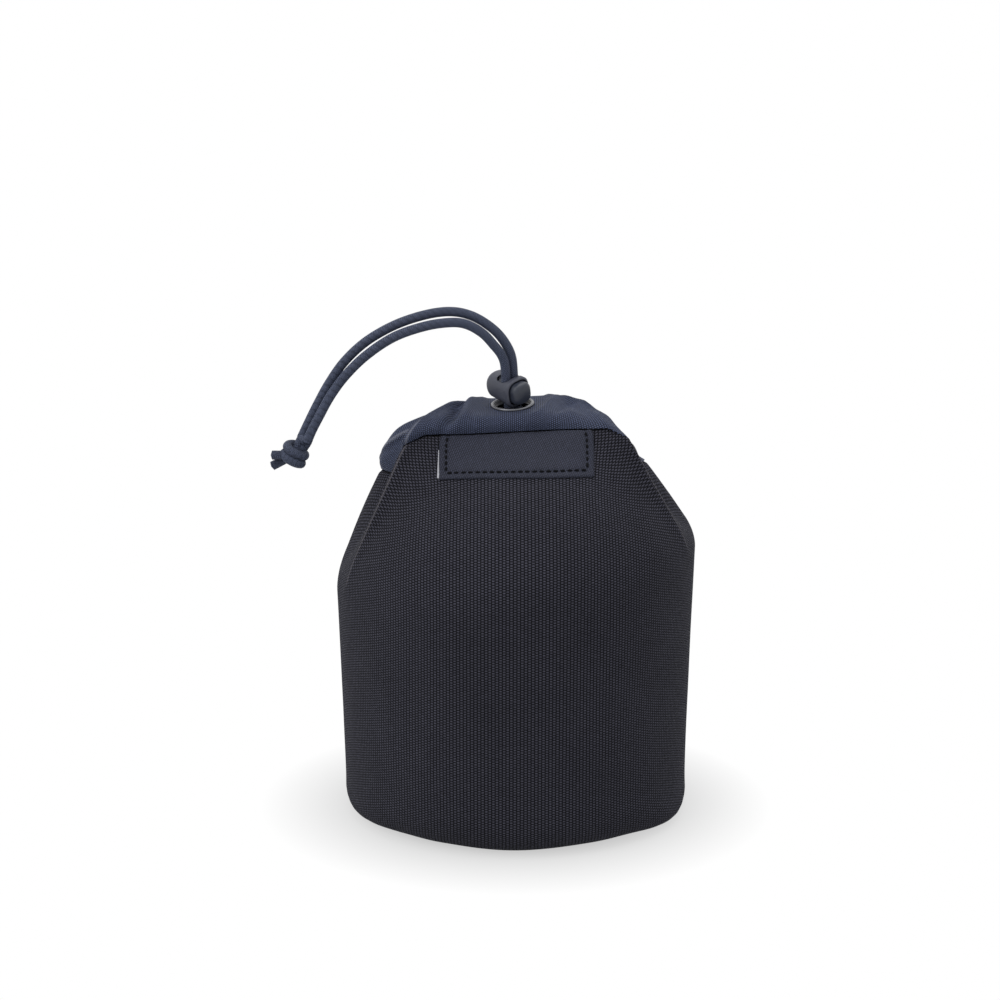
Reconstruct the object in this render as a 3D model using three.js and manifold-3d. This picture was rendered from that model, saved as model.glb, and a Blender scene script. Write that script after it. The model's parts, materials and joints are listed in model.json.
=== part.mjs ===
// Drawstring lens pouch: a padded woven wall on a round base, gathered at the top by an
// elastic drawcord that runs in a folded channel and leaves it by an eyelet and a cord lock.
// Millimetres, +Z up, the origin at the centre of the base, the front facing -Y.
// Angles round the pouch are measured from the front, positive towards +X.
import * as THREE from "three";
import { mergeVertices } from "three/addons/utils/BufferGeometryUtils.js";
import Module from "manifold-3d";

// clearance between neighbouring plies and pieces
const GAP = 0.3;

// wall and base
const SHELL = 1.0;
const FOAM = 4.0;
const LINING = 0.5;
const BINDING = 0.6;
const BINDING_WIDTH = 10;
const BASE_RADIUS = 56.6;
const BASE_EDGE_INSIDE = 0.8;
const BASE_FRONT_ROUNDING = 4.5;
const BASE_NOSE = 1.6;
const BASE_NOSE_TURN = 14;
const BASE_FRONT_END = 75;
const BASE_FRONT_EASE = 35;
const SHOULDER_RADIUS = 58.8;
const SHOULDER_HEIGHT = 80.3;
const SHOULDER_TILT = 7.3;
const SHOULDER_ROUNDING = 0.3;
const FRONT_ROUNDING = 0.7;
const UPPER_BULGE = 0.8;
const RIDGE_DRIFT = 0.25;
const RIDGE_DRIFT_END = 100;
const RIDGE_DRIFT_EASE = 35;

// gathered top edge of the wall: a flat front, then pleats round the sides and back
const FRONT_DEPTH = 24;
const FRONT_HALF_WIDTH = 35;
const PLEATS = 5;
const PLEAT_DEPTH = 6;
const GATHER_RADIUS = 46;
const GATHER_RIGHT_TUCK = 2.2;
const SEAM_HEIGHT = 112.5;
const SEAM_FRONT_RISE = 17.5;
const SEAM_LEVEL = 29;
const SEAM_TILT = 1.4;

// cord channel
const CHANNEL_CLOTH = 0.5;
const CHANNEL_LEAN = 23;
const CHANNEL_HOLLOW = 7;
const CHANNEL_TOP = 132;
const CHANNEL_TOP_TILT = 0.9;
const CHANNEL_BACK_DROP = 2.5;
const CHANNEL_RIGHT_DROP = 4;
const CHANNEL_RIGHT_START = 65;
const CHANNEL_RIGHT_FALL = 32;
const CHANNEL_RIGHT_END = 150;
const CHANNEL_RIGHT_CLIMB = 50;
const PLEAT_EASE = 0.6;
const CHANNEL_TILT = 7;
const CHANNEL_FRONT_LIP = 3.4;
const CHANNEL_LIP_DROP = 3;
const CHANNEL_SAG = 3;
const RUCK = 6.5;
const RUCK_END = 66;
const MOUTH_SPINE = 9;
const MOUTH_BACK = 4;

// label
const LABEL_WIDTH = 48.5;
const LABEL_HEIGHT = 18.2;
const LABEL_CLOTH = 0.6;
const LABEL_BOW = 1.4;
const LABEL_SEAT = 0.6;

// eyelet
const EYELET_BORE = 5;
const EYELET_WALL = 0.5;
const EYELET_FLANGE = 7;
const EYELET_RIM = 0.8;
const EYELET_WASHER = 0.6;
const EYELET_SEAT = 1;
const EYELET_OFFSET = -1.2;

// drawcord
const CORD_RADIUS = 1.5;
const CORD_SPACING = 3.2;
const CORD_SEAT = 0.58;
const CORD_CLIMB = 4;
const STRAND_DIRECTION = new THREE.Vector3(-0.1, -0.3, 0.95).normalize();
const STRAND_STRAIGHT = 17;
const TAIL_LENGTH = 7.5;

// free course of each strand above the lock, as offsets from the eyelet centre
const OUTER_COURSE = [
  [-3.6, -6, 22.6],
  [-8, -6.6, 26.8],
  [-13.5, -7.3, 29.9],
  [-19.8, -8, 31.1],
  [-27.7, -8.7, 30.1],
  [-37, -9.4, 27],
  [-45.8, -10, 22],
  [-52.6, -10.7, 15.8],
  [-57.5, -11.4, 9],
  [-61.3, -12.1, 2.2],
  [-64.3, -12.8, -3.8],
  [-66.4, -13.5, -8.2],
];
const INNER_COURSE = [
  [-6.6, -8.2, 21.3],
  [-10, -9, 24.8],
  [-14.7, -9.8, 27.4],
  [-19.8, -10.5, 28],
  [-27.6, -11.2, 26.9],
  [-37, -12, 23.7],
  [-45.5, -12.8, 18.2],
  [-52.2, -13.5, 11.8],
  [-57, -14.2, 5.4],
  [-60.8, -15, -1.4],
  [-63, -15.8, -5.6],
  [-64.4, -16.5, -9],
];

// cord lock, measured along its axis from the cord centres
const LOCK_HEADING = new THREE.Vector3(0.62, -0.78, 0);
const LOCK_RADIUS = 4.6;
const LOCK_TIP_RADIUS = 4.2;
const LOCK_WALL = 0.7;
const LOCK_FLOOR = 2.2;
const LOCK_CHAMFER = 1.2;
const LOCK_TRAVEL = 1.8;
const LOCK_DOME = 2.8;
const LOCK_SQUARE = 0.12;
const CORD_PLAY = 0.2;
const PLUNGER_WALL = 1.5;
const SPRING_ROOM = 3.6;
const SPRING_RADIUS = 2.2;
const SPRING_WIRE = 0.15;
const SPRING_TURNS = 3;
const BUTTON_PROUD = 2.8;

// colours and surfaces
const FINISHES = {
  bodyWeave: { color: 0x28272e, roughness: 0.9, metalness: 0 },
  padding: { color: 0x3a3a3d, roughness: 0.9, metalness: 0 },
  lining: { color: 0x2e2e33, roughness: 0.7, metalness: 0 },
  binding: { color: 0x26262a, roughness: 0.8, metalness: 0 },
  channelWeave: { color: 0x3a3e4c, roughness: 0.7, metalness: 0 },
  labelWeave: { color: 0x363740, roughness: 0.6, metalness: 0 },
  eyeletMetal: { color: 0x46474c, roughness: 0.35, metalness: 0.9 },
  cordBraid: { color: 0x31353f, roughness: 0.6, metalness: 0 },
  lockPlastic: { color: 0x4c4f5c, roughness: 0.5, metalness: 0 },
  springSteel: { color: 0xb4b4b6, roughness: 0.3, metalness: 1 },
};

// facet counts
const ARC_STEPS = 3;
const LOWER_STEPS = 2;
const UPPER_STEPS = 6;
const SEAT_STEPS = 2;
const FRONT_STEPS = 5;
const PLEAT_STEPS = 5;
const ROUND_STEPS = 24;
const CORD_SIDES = 8;
const SPRING_SIDES = 6;
const KNOT_STEPS = 14;

const stack = SHELL + GAP + FOAM + GAP + LINING;
const channelFoot = stack + BINDING + 2 * GAP;
const cornerAngle = Math.atan2(FRONT_HALF_WIDTH, FRONT_DEPTH);
const cornerRadius = Math.hypot(FRONT_DEPTH, FRONT_HALF_WIDTH);
const eyeletReach = EYELET_FLANGE + EYELET_SEAT;
const eyeletAngle = Math.atan2(EYELET_OFFSET, FRONT_DEPTH);
const up = new THREE.Vector3(0, 0, 1);

const wasm = await Module();
wasm.setup();

function lerp(a, b, t) {
  return a + (b - a) * t;
}

function smooth(t) {
  const share = THREE.MathUtils.clamp(t, 0, 1);
  return share * share * (3 - 2 * share);
}

function polar(angle, radius, z) {
  return new THREE.Vector3(radius * Math.sin(angle), -radius * Math.cos(angle), z);
}

function flipIfInsideOut(positions, index) {
  let volume = 0;
  const a = new THREE.Vector3();
  const b = new THREE.Vector3();
  const c = new THREE.Vector3();
  for (let i = 0; i < index.length; i += 3) {
    a.fromArray(positions, 3 * index[i]);
    b.fromArray(positions, 3 * index[i + 1]);
    c.fromArray(positions, 3 * index[i + 2]);
    volume += a.dot(b.cross(c));
  }
  if (volume < 0) {
    index.reverse();
  }
}

// closed solid through a row of loops of equal count; the ends are capped unless it is a ring.
// Every facet is split along the diagonal that climbs, so that nested plies stay apart.
function loft(loops, isRing) {
  const around = loops[0].length;
  const positions = loops.flat().flatMap((p) => [p.x, p.y, p.z]);
  const index = [];
  const joins = isRing ? loops.length : loops.length - 1;
  for (let i = 0; i < joins; i += 1) {
    const here = i * around;
    const there = ((i + 1) % loops.length) * around;
    for (let j = 0; j < around; j += 1) {
      const k = (j + 1) % around;
      if (loops[i][k].z >= loops[i][j].z) {
        index.push(here + j, there + j, there + k);
        index.push(here + j, there + k, here + k);
      } else {
        index.push(here + j, there + j, here + k);
        index.push(here + k, there + j, there + k);
      }
    }
  }
  if (!isRing) {
    const last = (loops.length - 1) * around;
    let a = 0;
    let b = around - 1;
    while (b - a > 1) {
      index.push(a, a + 1, b);
      index.push(last + a, last + b, last + a + 1);
      a += 1;
      if (b - a > 1) {
        index.push(a, b - 1, b);
        index.push(last + a, last + b, last + b - 1);
        b -= 1;
      }
    }
  }
  flipIfInsideOut(positions, index);
  const geometry = new THREE.BufferGeometry();
  geometry.setAttribute("position", new THREE.Float32BufferAttribute(positions, 3));
  geometry.setIndex(index);
  return geometry;
}

function toManifold(geometry) {
  const mesh = new wasm.Mesh({
    numProp: 3,
    vertProperties: new Float32Array(geometry.attributes.position.array),
    triVerts: new Uint32Array(geometry.index.array),
  });
  return new wasm.Manifold(mesh);
}

function toGeometry(solid) {
  const mesh = solid.getMesh();
  const geometry = new THREE.BufferGeometry();
  geometry.setAttribute("position", new THREE.Float32BufferAttribute(mesh.vertProperties, 3));
  geometry.setIndex(Array.from(mesh.triVerts));
  return geometry;
}

function cut(geometry, ...tools) {
  let solid = toManifold(geometry);
  for (const tool of tools) {
    solid = solid.subtract(toManifold(tool));
  }
  return toGeometry(solid);
}

function joined(...geometries) {
  let solid = toManifold(geometries[0]);
  for (const geometry of geometries.slice(1)) {
    solid = solid.add(toManifold(geometry));
  }
  return toGeometry(solid);
}

function perpendicular(axis) {
  const helper = Math.abs(axis.z) < 0.9 ? up : new THREE.Vector3(1, 0, 0);
  return new THREE.Vector3().crossVectors(helper, axis).normalize();
}

// closed solid of a geometry class: doubled points merged, facets of no area dropped
function welded(geometry) {
  geometry.deleteAttribute("normal");
  geometry.deleteAttribute("uv");
  const merged = mergeVertices(geometry);
  const corners = merged.index.array;
  const index = [];
  for (let i = 0; i < corners.length; i += 3) {
    const facet = [corners[i], corners[i + 1], corners[i + 2]];
    if (new Set(facet).size === 3) {
      index.push(...facet);
    }
  }
  flipIfInsideOut(merged.attributes.position.array, index);
  merged.setIndex(index);
  return merged;
}

// turned about an axis: the profile of [radius, height] closes on itself or on the axis
function turned(origin, axis, profile, steps) {
  const points = profile.map(([radius, height]) => new THREE.Vector2(radius, height));
  const sideways = perpendicular(axis);
  const third = new THREE.Vector3().crossVectors(sideways, axis);
  const place = new THREE.Matrix4().makeBasis(sideways, axis, third).setPosition(origin);
  return welded(new THREE.LatheGeometry(points, steps)).applyMatrix4(place);
}

function rod(origin, axis, radius, from, to, steps) {
  const profile = [
    [0, from],
    [radius, from],
    [radius, to],
    [0, to],
  ];
  return turned(origin, axis, profile, steps);
}

// cord along a smooth curve through the points
function cord(points, radius, sides, steps) {
  const section = new THREE.Shape().absarc(0, 0, radius, 0, 2 * Math.PI);
  const extrudePath = new THREE.CatmullRomCurve3(points, false, "centripetal");
  return welded(new THREE.ExtrudeGeometry(section, { steps, extrudePath, curveSegments: sides / 2 }));
}

// angles of the wall facets: the flat front with the eyelet seat, then the pleats
function wallAngles() {
  const half = [];
  for (let i = 1; i <= SEAT_STEPS; i += 1) {
    half.push((eyeletReach * i) / SEAT_STEPS);
  }
  for (let i = 1; i <= FRONT_STEPS; i += 1) {
    half.push(lerp(eyeletReach, FRONT_HALF_WIDTH, i / FRONT_STEPS));
  }
  const front = half.map((x) => Math.atan2(x, FRONT_DEPTH));
  const angles = [0, ...front];
  const count = PLEATS * PLEAT_STEPS;
  for (let i = 1; i < count; i += 1) {
    angles.push(cornerAngle + ((2 * Math.PI - 2 * cornerAngle) * i) / count);
  }
  for (const angle of front.reverse()) {
    angles.push(2 * Math.PI - angle);
  }
  return angles.map((angle) => (angle > Math.PI ? angle - 2 * Math.PI : angle));
}

function shoulderHeight(angle) {
  return SHOULDER_HEIGHT + SHOULDER_TILT * Math.sin(angle);
}

// the seam is nearly level across the front and drops from the corners to the sides
function seamHeight(angle) {
  const level = Math.atan2(SEAM_LEVEL, FRONT_DEPTH);
  const past = THREE.MathUtils.clamp((Math.abs(angle) - level) / (Math.PI / 2 - level), 0, 1);
  return SEAM_HEIGHT + SEAM_TILT * Math.sin(angle) + SEAM_FRONT_RISE * (1 - past) ** 1.3;
}

// rounding of the base edge: wider at the front, but for a blunt nose in the middle
function baseEdge(angle) {
  const turn = THREE.MathUtils.radToDeg(Math.abs(angle));
  const front = BASE_FRONT_ROUNDING * smooth((BASE_FRONT_END - turn) / BASE_FRONT_EASE);
  return stack + BASE_EDGE_INSIDE + front - BASE_NOSE * Math.exp(-((turn / BASE_NOSE_TURN) ** 2));
}

// radius of the gathered top edge, for a ply that lies inside the outer face by the inset
function gatherRadius(angle, inset) {
  const turn = Math.abs(angle);
  const past = Math.max(0, turn - cornerAngle) / (Math.PI - cornerAngle);
  const tuck = GATHER_RIGHT_TUCK * Math.max(0, Math.sin(angle));
  const crests = lerp(cornerRadius, GATHER_RADIUS - tuck, Math.min(1, 3 * past));
  const pleats = crests - inset - PLEAT_DEPTH * (1 - Math.cos(PLEATS * Math.PI * past));
  if (turn > 0.49 * Math.PI) {
    return pleats;
  }
  return Math.min((FRONT_DEPTH - inset) / Math.cos(turn), pleats);
}

// share of the way from the shoulder to the gather: it leaves the shoulder in a bend,
// which is long at the front and short at the sides
function gatherShare(angle, t) {
  const bend = lerp(SHOULDER_ROUNDING, FRONT_ROUNDING, Math.max(0, Math.cos(angle)) ** 2);
  const bent = t < bend ? (t * t) / (2 * bend) : t - bend / 2;
  return bent / (1 - bend / 2);
}

// how far round the corner ridges have moved at a share of the way up to the seam
function ridgeDrift(angle, t) {
  const turn = Math.abs(angle);
  const end = THREE.MathUtils.degToRad(RIDGE_DRIFT_END);
  const ease = THREE.MathUtils.degToRad(RIDGE_DRIFT_EASE);
  return Math.sign(angle) * RIDGE_DRIFT * (1 - t) * smooth(turn / cornerAngle) * smooth((end - turn) / ease);
}

function upperPoint(angle, t, inset) {
  const gathered = gatherRadius(angle - ridgeDrift(angle, t), inset);
  const straight = lerp(SHOULDER_RADIUS - inset, gathered, gatherShare(angle, t));
  const radius = straight + UPPER_BULGE * Math.sin(Math.PI * t);
  return polar(angle, radius, lerp(shoulderHeight(angle), seamHeight(angle), t));
}

// one upright line of a ply, from the base edge to the top seam
function wallLine(angle, inset) {
  const line = [];
  const edge = baseEdge(angle);
  for (let i = 0; i <= ARC_STEPS; i += 1) {
    const turn = (Math.PI / 2) * (i / ARC_STEPS);
    const radius = BASE_RADIUS - edge + (edge - inset) * Math.sin(turn);
    line.push(polar(angle, radius, edge - (edge - inset) * Math.cos(turn)));
  }
  for (let i = 1; i <= LOWER_STEPS; i += 1) {
    const t = i / LOWER_STEPS;
    const radius = lerp(BASE_RADIUS, SHOULDER_RADIUS, t ** 1.5) - inset;
    line.push(polar(angle, radius, lerp(edge, shoulderHeight(angle), t)));
  }
  for (let i = 1; i <= UPPER_STEPS; i += 1) {
    line.push(upperPoint(angle, i / UPPER_STEPS, inset));
  }
  return line;
}

function wallPly(inset, thickness) {
  const loops = wallAngles().map((angle) => [
    ...wallLine(angle, inset),
    ...wallLine(angle, inset + thickness).reverse(),
  ]);
  return loft(loops, true);
}

function baseDisc(inset, thickness) {
  const outline = wallAngles().map((angle) => polar(angle, BASE_RADIUS - baseEdge(angle) - GAP, 0));
  const disc = new THREE.ExtrudeGeometry(new THREE.Shape(outline), { depth: thickness, bevelEnabled: false });
  return welded(disc).translate(0, 0, inset);
}

function baseBinding() {
  const bottom = stack + GAP;
  const loops = wallAngles().map((angle) => {
    const outside = BASE_RADIUS - baseEdge(angle);
    return [
      polar(angle, outside, bottom),
      polar(angle, outside, bottom + BINDING),
      polar(angle, outside - BINDING_WIDTH / 2, bottom + BINDING),
      polar(angle, outside - BINDING_WIDTH / 2, bottom),
    ];
  });
  return loft(loops, true);
}

function backSeamBinding() {
  const inside = stack + GAP;
  const half = BINDING_WIDTH / 2 / SHOULDER_RADIUS;
  const columns = [-half, 0, half].map((turn) => Math.PI + turn);
  const outer = columns.map((angle) => wallLine(angle, inside));
  const inner = columns.map((angle) => wallLine(angle, inside + BINDING)).reverse();
  const loops = [];
  for (let i = ARC_STEPS + 1; i < ARC_STEPS + LOWER_STEPS + UPPER_STEPS - 1; i += 1) {
    loops.push([...outer.map((line) => line[i]), ...inner.map((line) => line[i])]);
  }
  return loft(loops, false);
}

function mouthSeamBinding() {
  const inside = stack + GAP;
  const low = 1 - 1 / UPPER_STEPS;
  const loops = wallAngles().map((angle) => [
    upperPoint(angle, low, inside),
    upperPoint(angle, 1, inside),
    upperPoint(angle, 1, inside + BINDING),
    upperPoint(angle, low, inside + BINDING),
  ]);
  return loft(loops, true);
}

// point of the front at a given x, found between the two front corners
function frontPoint(x, t, inset) {
  let low = -cornerAngle;
  let high = cornerAngle;
  for (let i = 0; i < 40; i += 1) {
    const middle = (low + high) / 2;
    if (upperPoint(middle, t, inset).x < x) {
      low = middle;
    } else {
      high = middle;
    }
  }
  return upperPoint((low + high) / 2, t, inset);
}

// point of the label, a distance below the seam along the slope of the front
function labelPoint(x, below, inset) {
  const slope = upperPoint(0, 1, 0).distanceTo(upperPoint(0, 0.5, 0)) * 2;
  const top = Math.atan2(x, FRONT_DEPTH);
  const bow = LABEL_BOW * (below / LABEL_HEIGHT) * (1 - ((2 * x) / LABEL_WIDTH) ** 2);
  const drop = ((below - bow) / slope) * (seamHeight(0) - shoulderHeight(0));
  return frontPoint(x, 1 - drop / (seamHeight(top) - shoulderHeight(top)), inset);
}

function frontLabel() {
  const columns = 8;
  const rows = 3;
  const loops = [];
  for (let i = 0; i <= rows; i += 1) {
    const below = LABEL_HEIGHT * (1 - i / rows);
    const outer = [];
    const inner = [];
    for (let j = 0; j <= columns; j += 1) {
      const x = LABEL_WIDTH * (j / columns - 0.5);
      outer.push(labelPoint(x, below, -LABEL_SEAT - LABEL_CLOTH));
      inner.push(labelPoint(x, below, -LABEL_SEAT));
    }
    loops.push([...outer, ...inner.reverse()]);
  }
  return loft(loops, false);
}

// outline of the channel where the eyelet sits: [inwards, upwards] from its outer seam edge
const slope = Math.tan(THREE.MathUtils.degToRad(CHANNEL_TILT));
const eyeletInwards = CHANNEL_FRONT_LIP + eyeletReach;
const flatEnd = CHANNEL_FRONT_LIP + 2 * eyeletReach;
const lipRise = CHANNEL_TOP + RUCK - CHANNEL_LIP_DROP - SEAM_HEIGHT - SEAM_FRONT_RISE;
const frontRoll = [
  [0, 0],
  [-0.3, 0.45 * lipRise],
  [0.9, 0.86 * lipRise],
  [CHANNEL_FRONT_LIP, lipRise],
  [eyeletInwards, lipRise + slope * eyeletReach],
  [flatEnd, lipRise + slope * 2 * eyeletReach],
  [flatEnd + 2.4, 0.8 * lipRise + slope * 2 * eyeletReach],
  [flatEnd + 3.2, 0.28 * lipRise + slope * 2 * eyeletReach],
  [flatEnd + 1.2, slope * eyeletReach - CHANNEL_SAG / 2],
  [eyeletInwards + eyeletReach / 3, 0.4 - CHANNEL_SAG],
  [channelFoot + 2.6, -CHANNEL_SAG],
  [channelFoot + 0.8, 0.8 - CHANNEL_SAG],
  [channelFoot, 0],
];
// share of the ruck that each point of that outline takes
const FRONT_LIFT = [0, 0, 0.2, 0.45, 0.8, 1, 1, 1, 0.8, 0.3, 0, 0, 0];
// outline at the sides and the back, leaning in over the mouth, as shares of lean and rise
const sideRoll = [
  [0, 0],
  [-0.03, 0.16],
  [0.04, 0.38],
  [0.21, 0.61],
  [0.48, 0.8],
  [0.75, 0.96],
  [0.9, 0.99],
  [1, 0.91],
  [1.04, 0.5],
  [0.87, 0.14],
  [0.68, 0.02],
  [0.52, 0.01],
];

// height of the mouth above the seam: rucked up beside the eyelet, lower at the back and the right
function channelRise(angle) {
  const tilt = CHANNEL_TOP_TILT * Math.sin(angle) + CHANNEL_BACK_DROP * Math.min(0, Math.cos(angle));
  const turn = THREE.MathUtils.radToDeg(angle);
  const fall = smooth((turn - CHANNEL_RIGHT_START) / CHANNEL_RIGHT_FALL);
  const climb = smooth((CHANNEL_RIGHT_END - turn) / CHANNEL_RIGHT_CLIMB);
  const start = Math.atan2(eyeletReach, FRONT_DEPTH);
  const end = THREE.MathUtils.degToRad(RUCK_END);
  const past = THREE.MathUtils.clamp((Math.abs(angle) - start) / (end - start), 0, 1);
  const top = CHANNEL_TOP + tilt - CHANNEL_RIGHT_DROP * fall * climb + RUCK * (1 - past ** 6);
  return top - seamHeight(angle) - GAP;
}

function sideOutline(angle) {
  const crest = PLEAT_EASE * (gatherRadius(angle, 0) - GATHER_RADIUS);
  const lean = CHANNEL_LEAN + crest;
  const rise = channelRise(angle);
  const hollow = 4 * CHANNEL_HOLLOW * Math.max(0, Math.sin(angle));
  const outline = sideRoll.map(([inwards, upwards]) => [
    inwards * lean + hollow * upwards * (1 - upwards),
    upwards * rise,
  ]);
  return [...outline, [channelFoot, 0]];
}

// flat under the eyelet, rucked beside it, and rolled over from the front corners on
function rollOutline(angle) {
  if (Math.abs(angle) > cornerAngle - 0.001) {
    return sideOutline(angle);
  }
  const x = FRONT_DEPTH * Math.tan(Math.abs(angle));
  const share = Math.max(0, (x - eyeletReach) / (FRONT_HALF_WIDTH - eyeletReach));
  if (share < 0.001) {
    return frontRoll;
  }
  const corner = sideOutline(Math.sign(angle) * cornerAngle);
  const lift = smooth(2.5 * share) * (channelRise(angle) - lerp(frontRoll[5][1], corner[5][1], share));
  return frontRoll.map(([inwards, upwards], i) => [
    lerp(inwards, corner[i][0], share),
    lerp(upwards, corner[i][1], share) + lift * FRONT_LIFT[i],
  ]);
}

// outline moved inwards by the cloth thickness
function insetOutline(outline, thickness) {
  return outline.map((here, i) => {
    const before = outline[(i + outline.length - 1) % outline.length];
    const after = outline[(i + 1) % outline.length];
    const a = new THREE.Vector2(here[0] - before[0], here[1] - before[1]).normalize();
    const b = new THREE.Vector2(after[0] - here[0], after[1] - here[1]).normalize();
    const normal = new THREE.Vector2(a.y + b.y, -a.x - b.x);
    const reach = (2 * thickness) / normal.lengthSq();
    return [here[0] + normal.x * reach, here[1] + normal.y * reach];
  });
}

function channelFrame(angle) {
  const foot = polar(angle, gatherRadius(angle, 0), seamHeight(angle) + GAP);
  const across = THREE.MathUtils.clamp(foot.x, -MOUTH_SPINE, MOUTH_SPINE);
  const spine = new THREE.Vector3(across, MOUTH_BACK, foot.z);
  return { foot, inwards: spine.sub(foot).normalize() };
}

function onChannel(angle, [inwards, upwards]) {
  const frame = channelFrame(angle);
  return frame.foot.clone().addScaledVector(frame.inwards, inwards).addScaledVector(up, upwards);
}

function tunnelOutline(angle) {
  return insetOutline(rollOutline(angle), CHANNEL_CLOTH);
}

// where the tight cord lies in the tunnel, towards the mouth
function cordSeat(angle) {
  const outline = tunnelOutline(angle);
  const middle = [0, 1].map((axis) => {
    const above = (outline[4][axis] + outline[5][axis]) / 2;
    const below = (outline[8][axis] + outline[9][axis]) / 2;
    return lerp(below, above, CORD_SEAT);
  });
  return onChannel(angle, middle);
}

const eyeletCentre = onChannel(eyeletAngle, frontRoll[4]);
const seamSlope = SEAM_TILT / FRONT_DEPTH;
const eyeletAxis = new THREE.Vector3(-seamSlope, -slope, 1).normalize();

function cordChannel() {
  const around = (outline) => {
    return loft(wallAngles().map((angle) => outline(angle).map((p) => onChannel(angle, p))), true);
  };
  const outer = around(rollOutline);
  const tunnel = around(tunnelOutline);
  const radius = EYELET_BORE + EYELET_WALL + GAP;
  const hole = rod(eyeletCentre, eyeletAxis, radius, -CHANNEL_CLOTH - GAP, EYELET_RIM, ROUND_STEPS);
  return cut(outer, tunnel, hole);
}

const washerTop = -CHANNEL_CLOTH - GAP;
const curlTop = washerTop - EYELET_WASHER - GAP;

function eyeletBarrel() {
  const barrel = EYELET_BORE + EYELET_WALL;
  const middle = (barrel + EYELET_FLANGE) / 2;
  const profile = [
    [EYELET_BORE, 0.4 * EYELET_RIM],
    [EYELET_BORE, curlTop - EYELET_WALL],
    [barrel + 2 * GAP, curlTop - EYELET_WALL],
    [barrel + 2 * GAP, curlTop],
    [barrel, curlTop],
    [barrel, GAP],
    [EYELET_FLANGE, GAP],
    [EYELET_FLANGE - 0.1, 0.55 * EYELET_RIM],
    [lerp(middle, EYELET_FLANGE, 0.6), 0.9 * EYELET_RIM],
    [middle, EYELET_RIM],
    [lerp(middle, EYELET_BORE, 0.6), 0.85 * EYELET_RIM],
    [EYELET_BORE, 0.4 * EYELET_RIM],
  ];
  return turned(eyeletCentre, eyeletAxis, profile, ROUND_STEPS);
}

function eyeletWasher() {
  const inside = EYELET_BORE + EYELET_WALL + GAP;
  const outside = EYELET_FLANGE - EYELET_WALL;
  const profile = [
    [inside, washerTop],
    [inside, washerTop - EYELET_WASHER],
    [outside, washerTop - EYELET_WASHER],
    [outside, washerTop],
    [inside, washerTop],
  ];
  return turned(eyeletCentre, eyeletAxis, profile, ROUND_STEPS);
}

// lock frame: the cords run along the strand direction, the button moves along the axis
const lockAxis = LOCK_HEADING.clone();
lockAxis.addScaledVector(STRAND_DIRECTION, -LOCK_HEADING.dot(STRAND_DIRECTION)).normalize();
const lockAcross = new THREE.Vector3().crossVectors(STRAND_DIRECTION, lockAxis);
const lockLift = (LOCK_RADIUS + EYELET_RIM + GAP) / STRAND_DIRECTION.dot(eyeletAxis);
const lockCentre = eyeletCentre.clone().addScaledVector(STRAND_DIRECTION, lockLift);

const bore = LOCK_RADIUS - LOCK_WALL;
const cordEdge = CORD_RADIUS + CORD_PLAY;
const cordReach = CORD_SPACING / 2 + CORD_RADIUS + CORD_PLAY;
const plungerEnd = -cordEdge - PLUNGER_WALL;
const boreEnd = plungerEnd - SPRING_ROOM;
const lockTip = boreEnd - LOCK_FLOOR;
const lockMouth = cordEdge + LOCK_TRAVEL + GAP;

function cordSlot(from, to) {
  const slot = new THREE.BoxGeometry(to - from, 2 * cordReach, 4 * LOCK_RADIUS);
  const place = new THREE.Matrix4().makeBasis(lockAxis, lockAcross, STRAND_DIRECTION);
  const centre = lockCentre.clone().addScaledVector(lockAxis, (from + to) / 2);
  return welded(slot).applyMatrix4(place.setPosition(centre));
}

// section of the lock: a circle at the tip that grows into a rounded square along the dome
function squared(geometry) {
  const position = geometry.attributes.position;
  const point = new THREE.Vector3();
  for (let i = 0; i < position.count; i += 1) {
    point.fromBufferAttribute(position, i).sub(lockCentre);
    const along = point.dot(lockAxis);
    const across = point.dot(lockAcross);
    const rise = point.dot(STRAND_DIRECTION);
    const reach = across * across + rise * rise;
    const corner = reach > 0.01 ? (2 * across * rise) / reach : 0;
    const grown = smooth((along - lockTip) / (plungerEnd - LOCK_TRAVEL - lockTip));
    const share = LOCK_SQUARE * corner * corner * grown;
    point.addScaledVector(lockAcross, share * across).addScaledVector(STRAND_DIRECTION, share * rise);
    position.setXYZ(i, ...point.add(lockCentre));
  }
  return geometry;
}

function lockBarrel() {
  const profile = [
    [0, boreEnd],
    [bore - LOCK_CHAMFER, boreEnd],
    [bore, boreEnd + LOCK_CHAMFER],
    [bore, lockMouth],
    [LOCK_RADIUS - 0.4, lockMouth],
    [LOCK_RADIUS, lockMouth - 0.6],
    [LOCK_RADIUS, -cordEdge],
  ];
  const domeSteps = 6;
  for (let i = 0; i < domeSteps; i += 1) {
    const turn = (Math.PI / 2) * (i / domeSteps);
    profile.push([LOCK_TIP_RADIUS * Math.cos(turn), lockTip + LOCK_DOME * (1 - Math.sin(turn))]);
  }
  profile.push([0, lockTip]);
  const body = squared(turned(lockCentre, lockAxis, profile, ROUND_STEPS));
  return cut(body, cordSlot(-cordEdge - LOCK_TRAVEL, cordEdge));
}

function lockPlunger() {
  const radius = bore - GAP;
  const tip = lockMouth + BUTTON_PROUD;
  const profile = [
    [0, plungerEnd],
    [radius, plungerEnd],
    [radius, tip - 1.2],
    [radius - 0.4, tip - 0.5],
    [radius - 1.2, tip - 0.1],
    [radius - 2.2, tip],
    [0, tip],
  ];
  const body = squared(turned(lockCentre, lockAxis, profile, ROUND_STEPS));
  return cut(body, cordSlot(-cordEdge, cordEdge + LOCK_TRAVEL));
}

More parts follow.
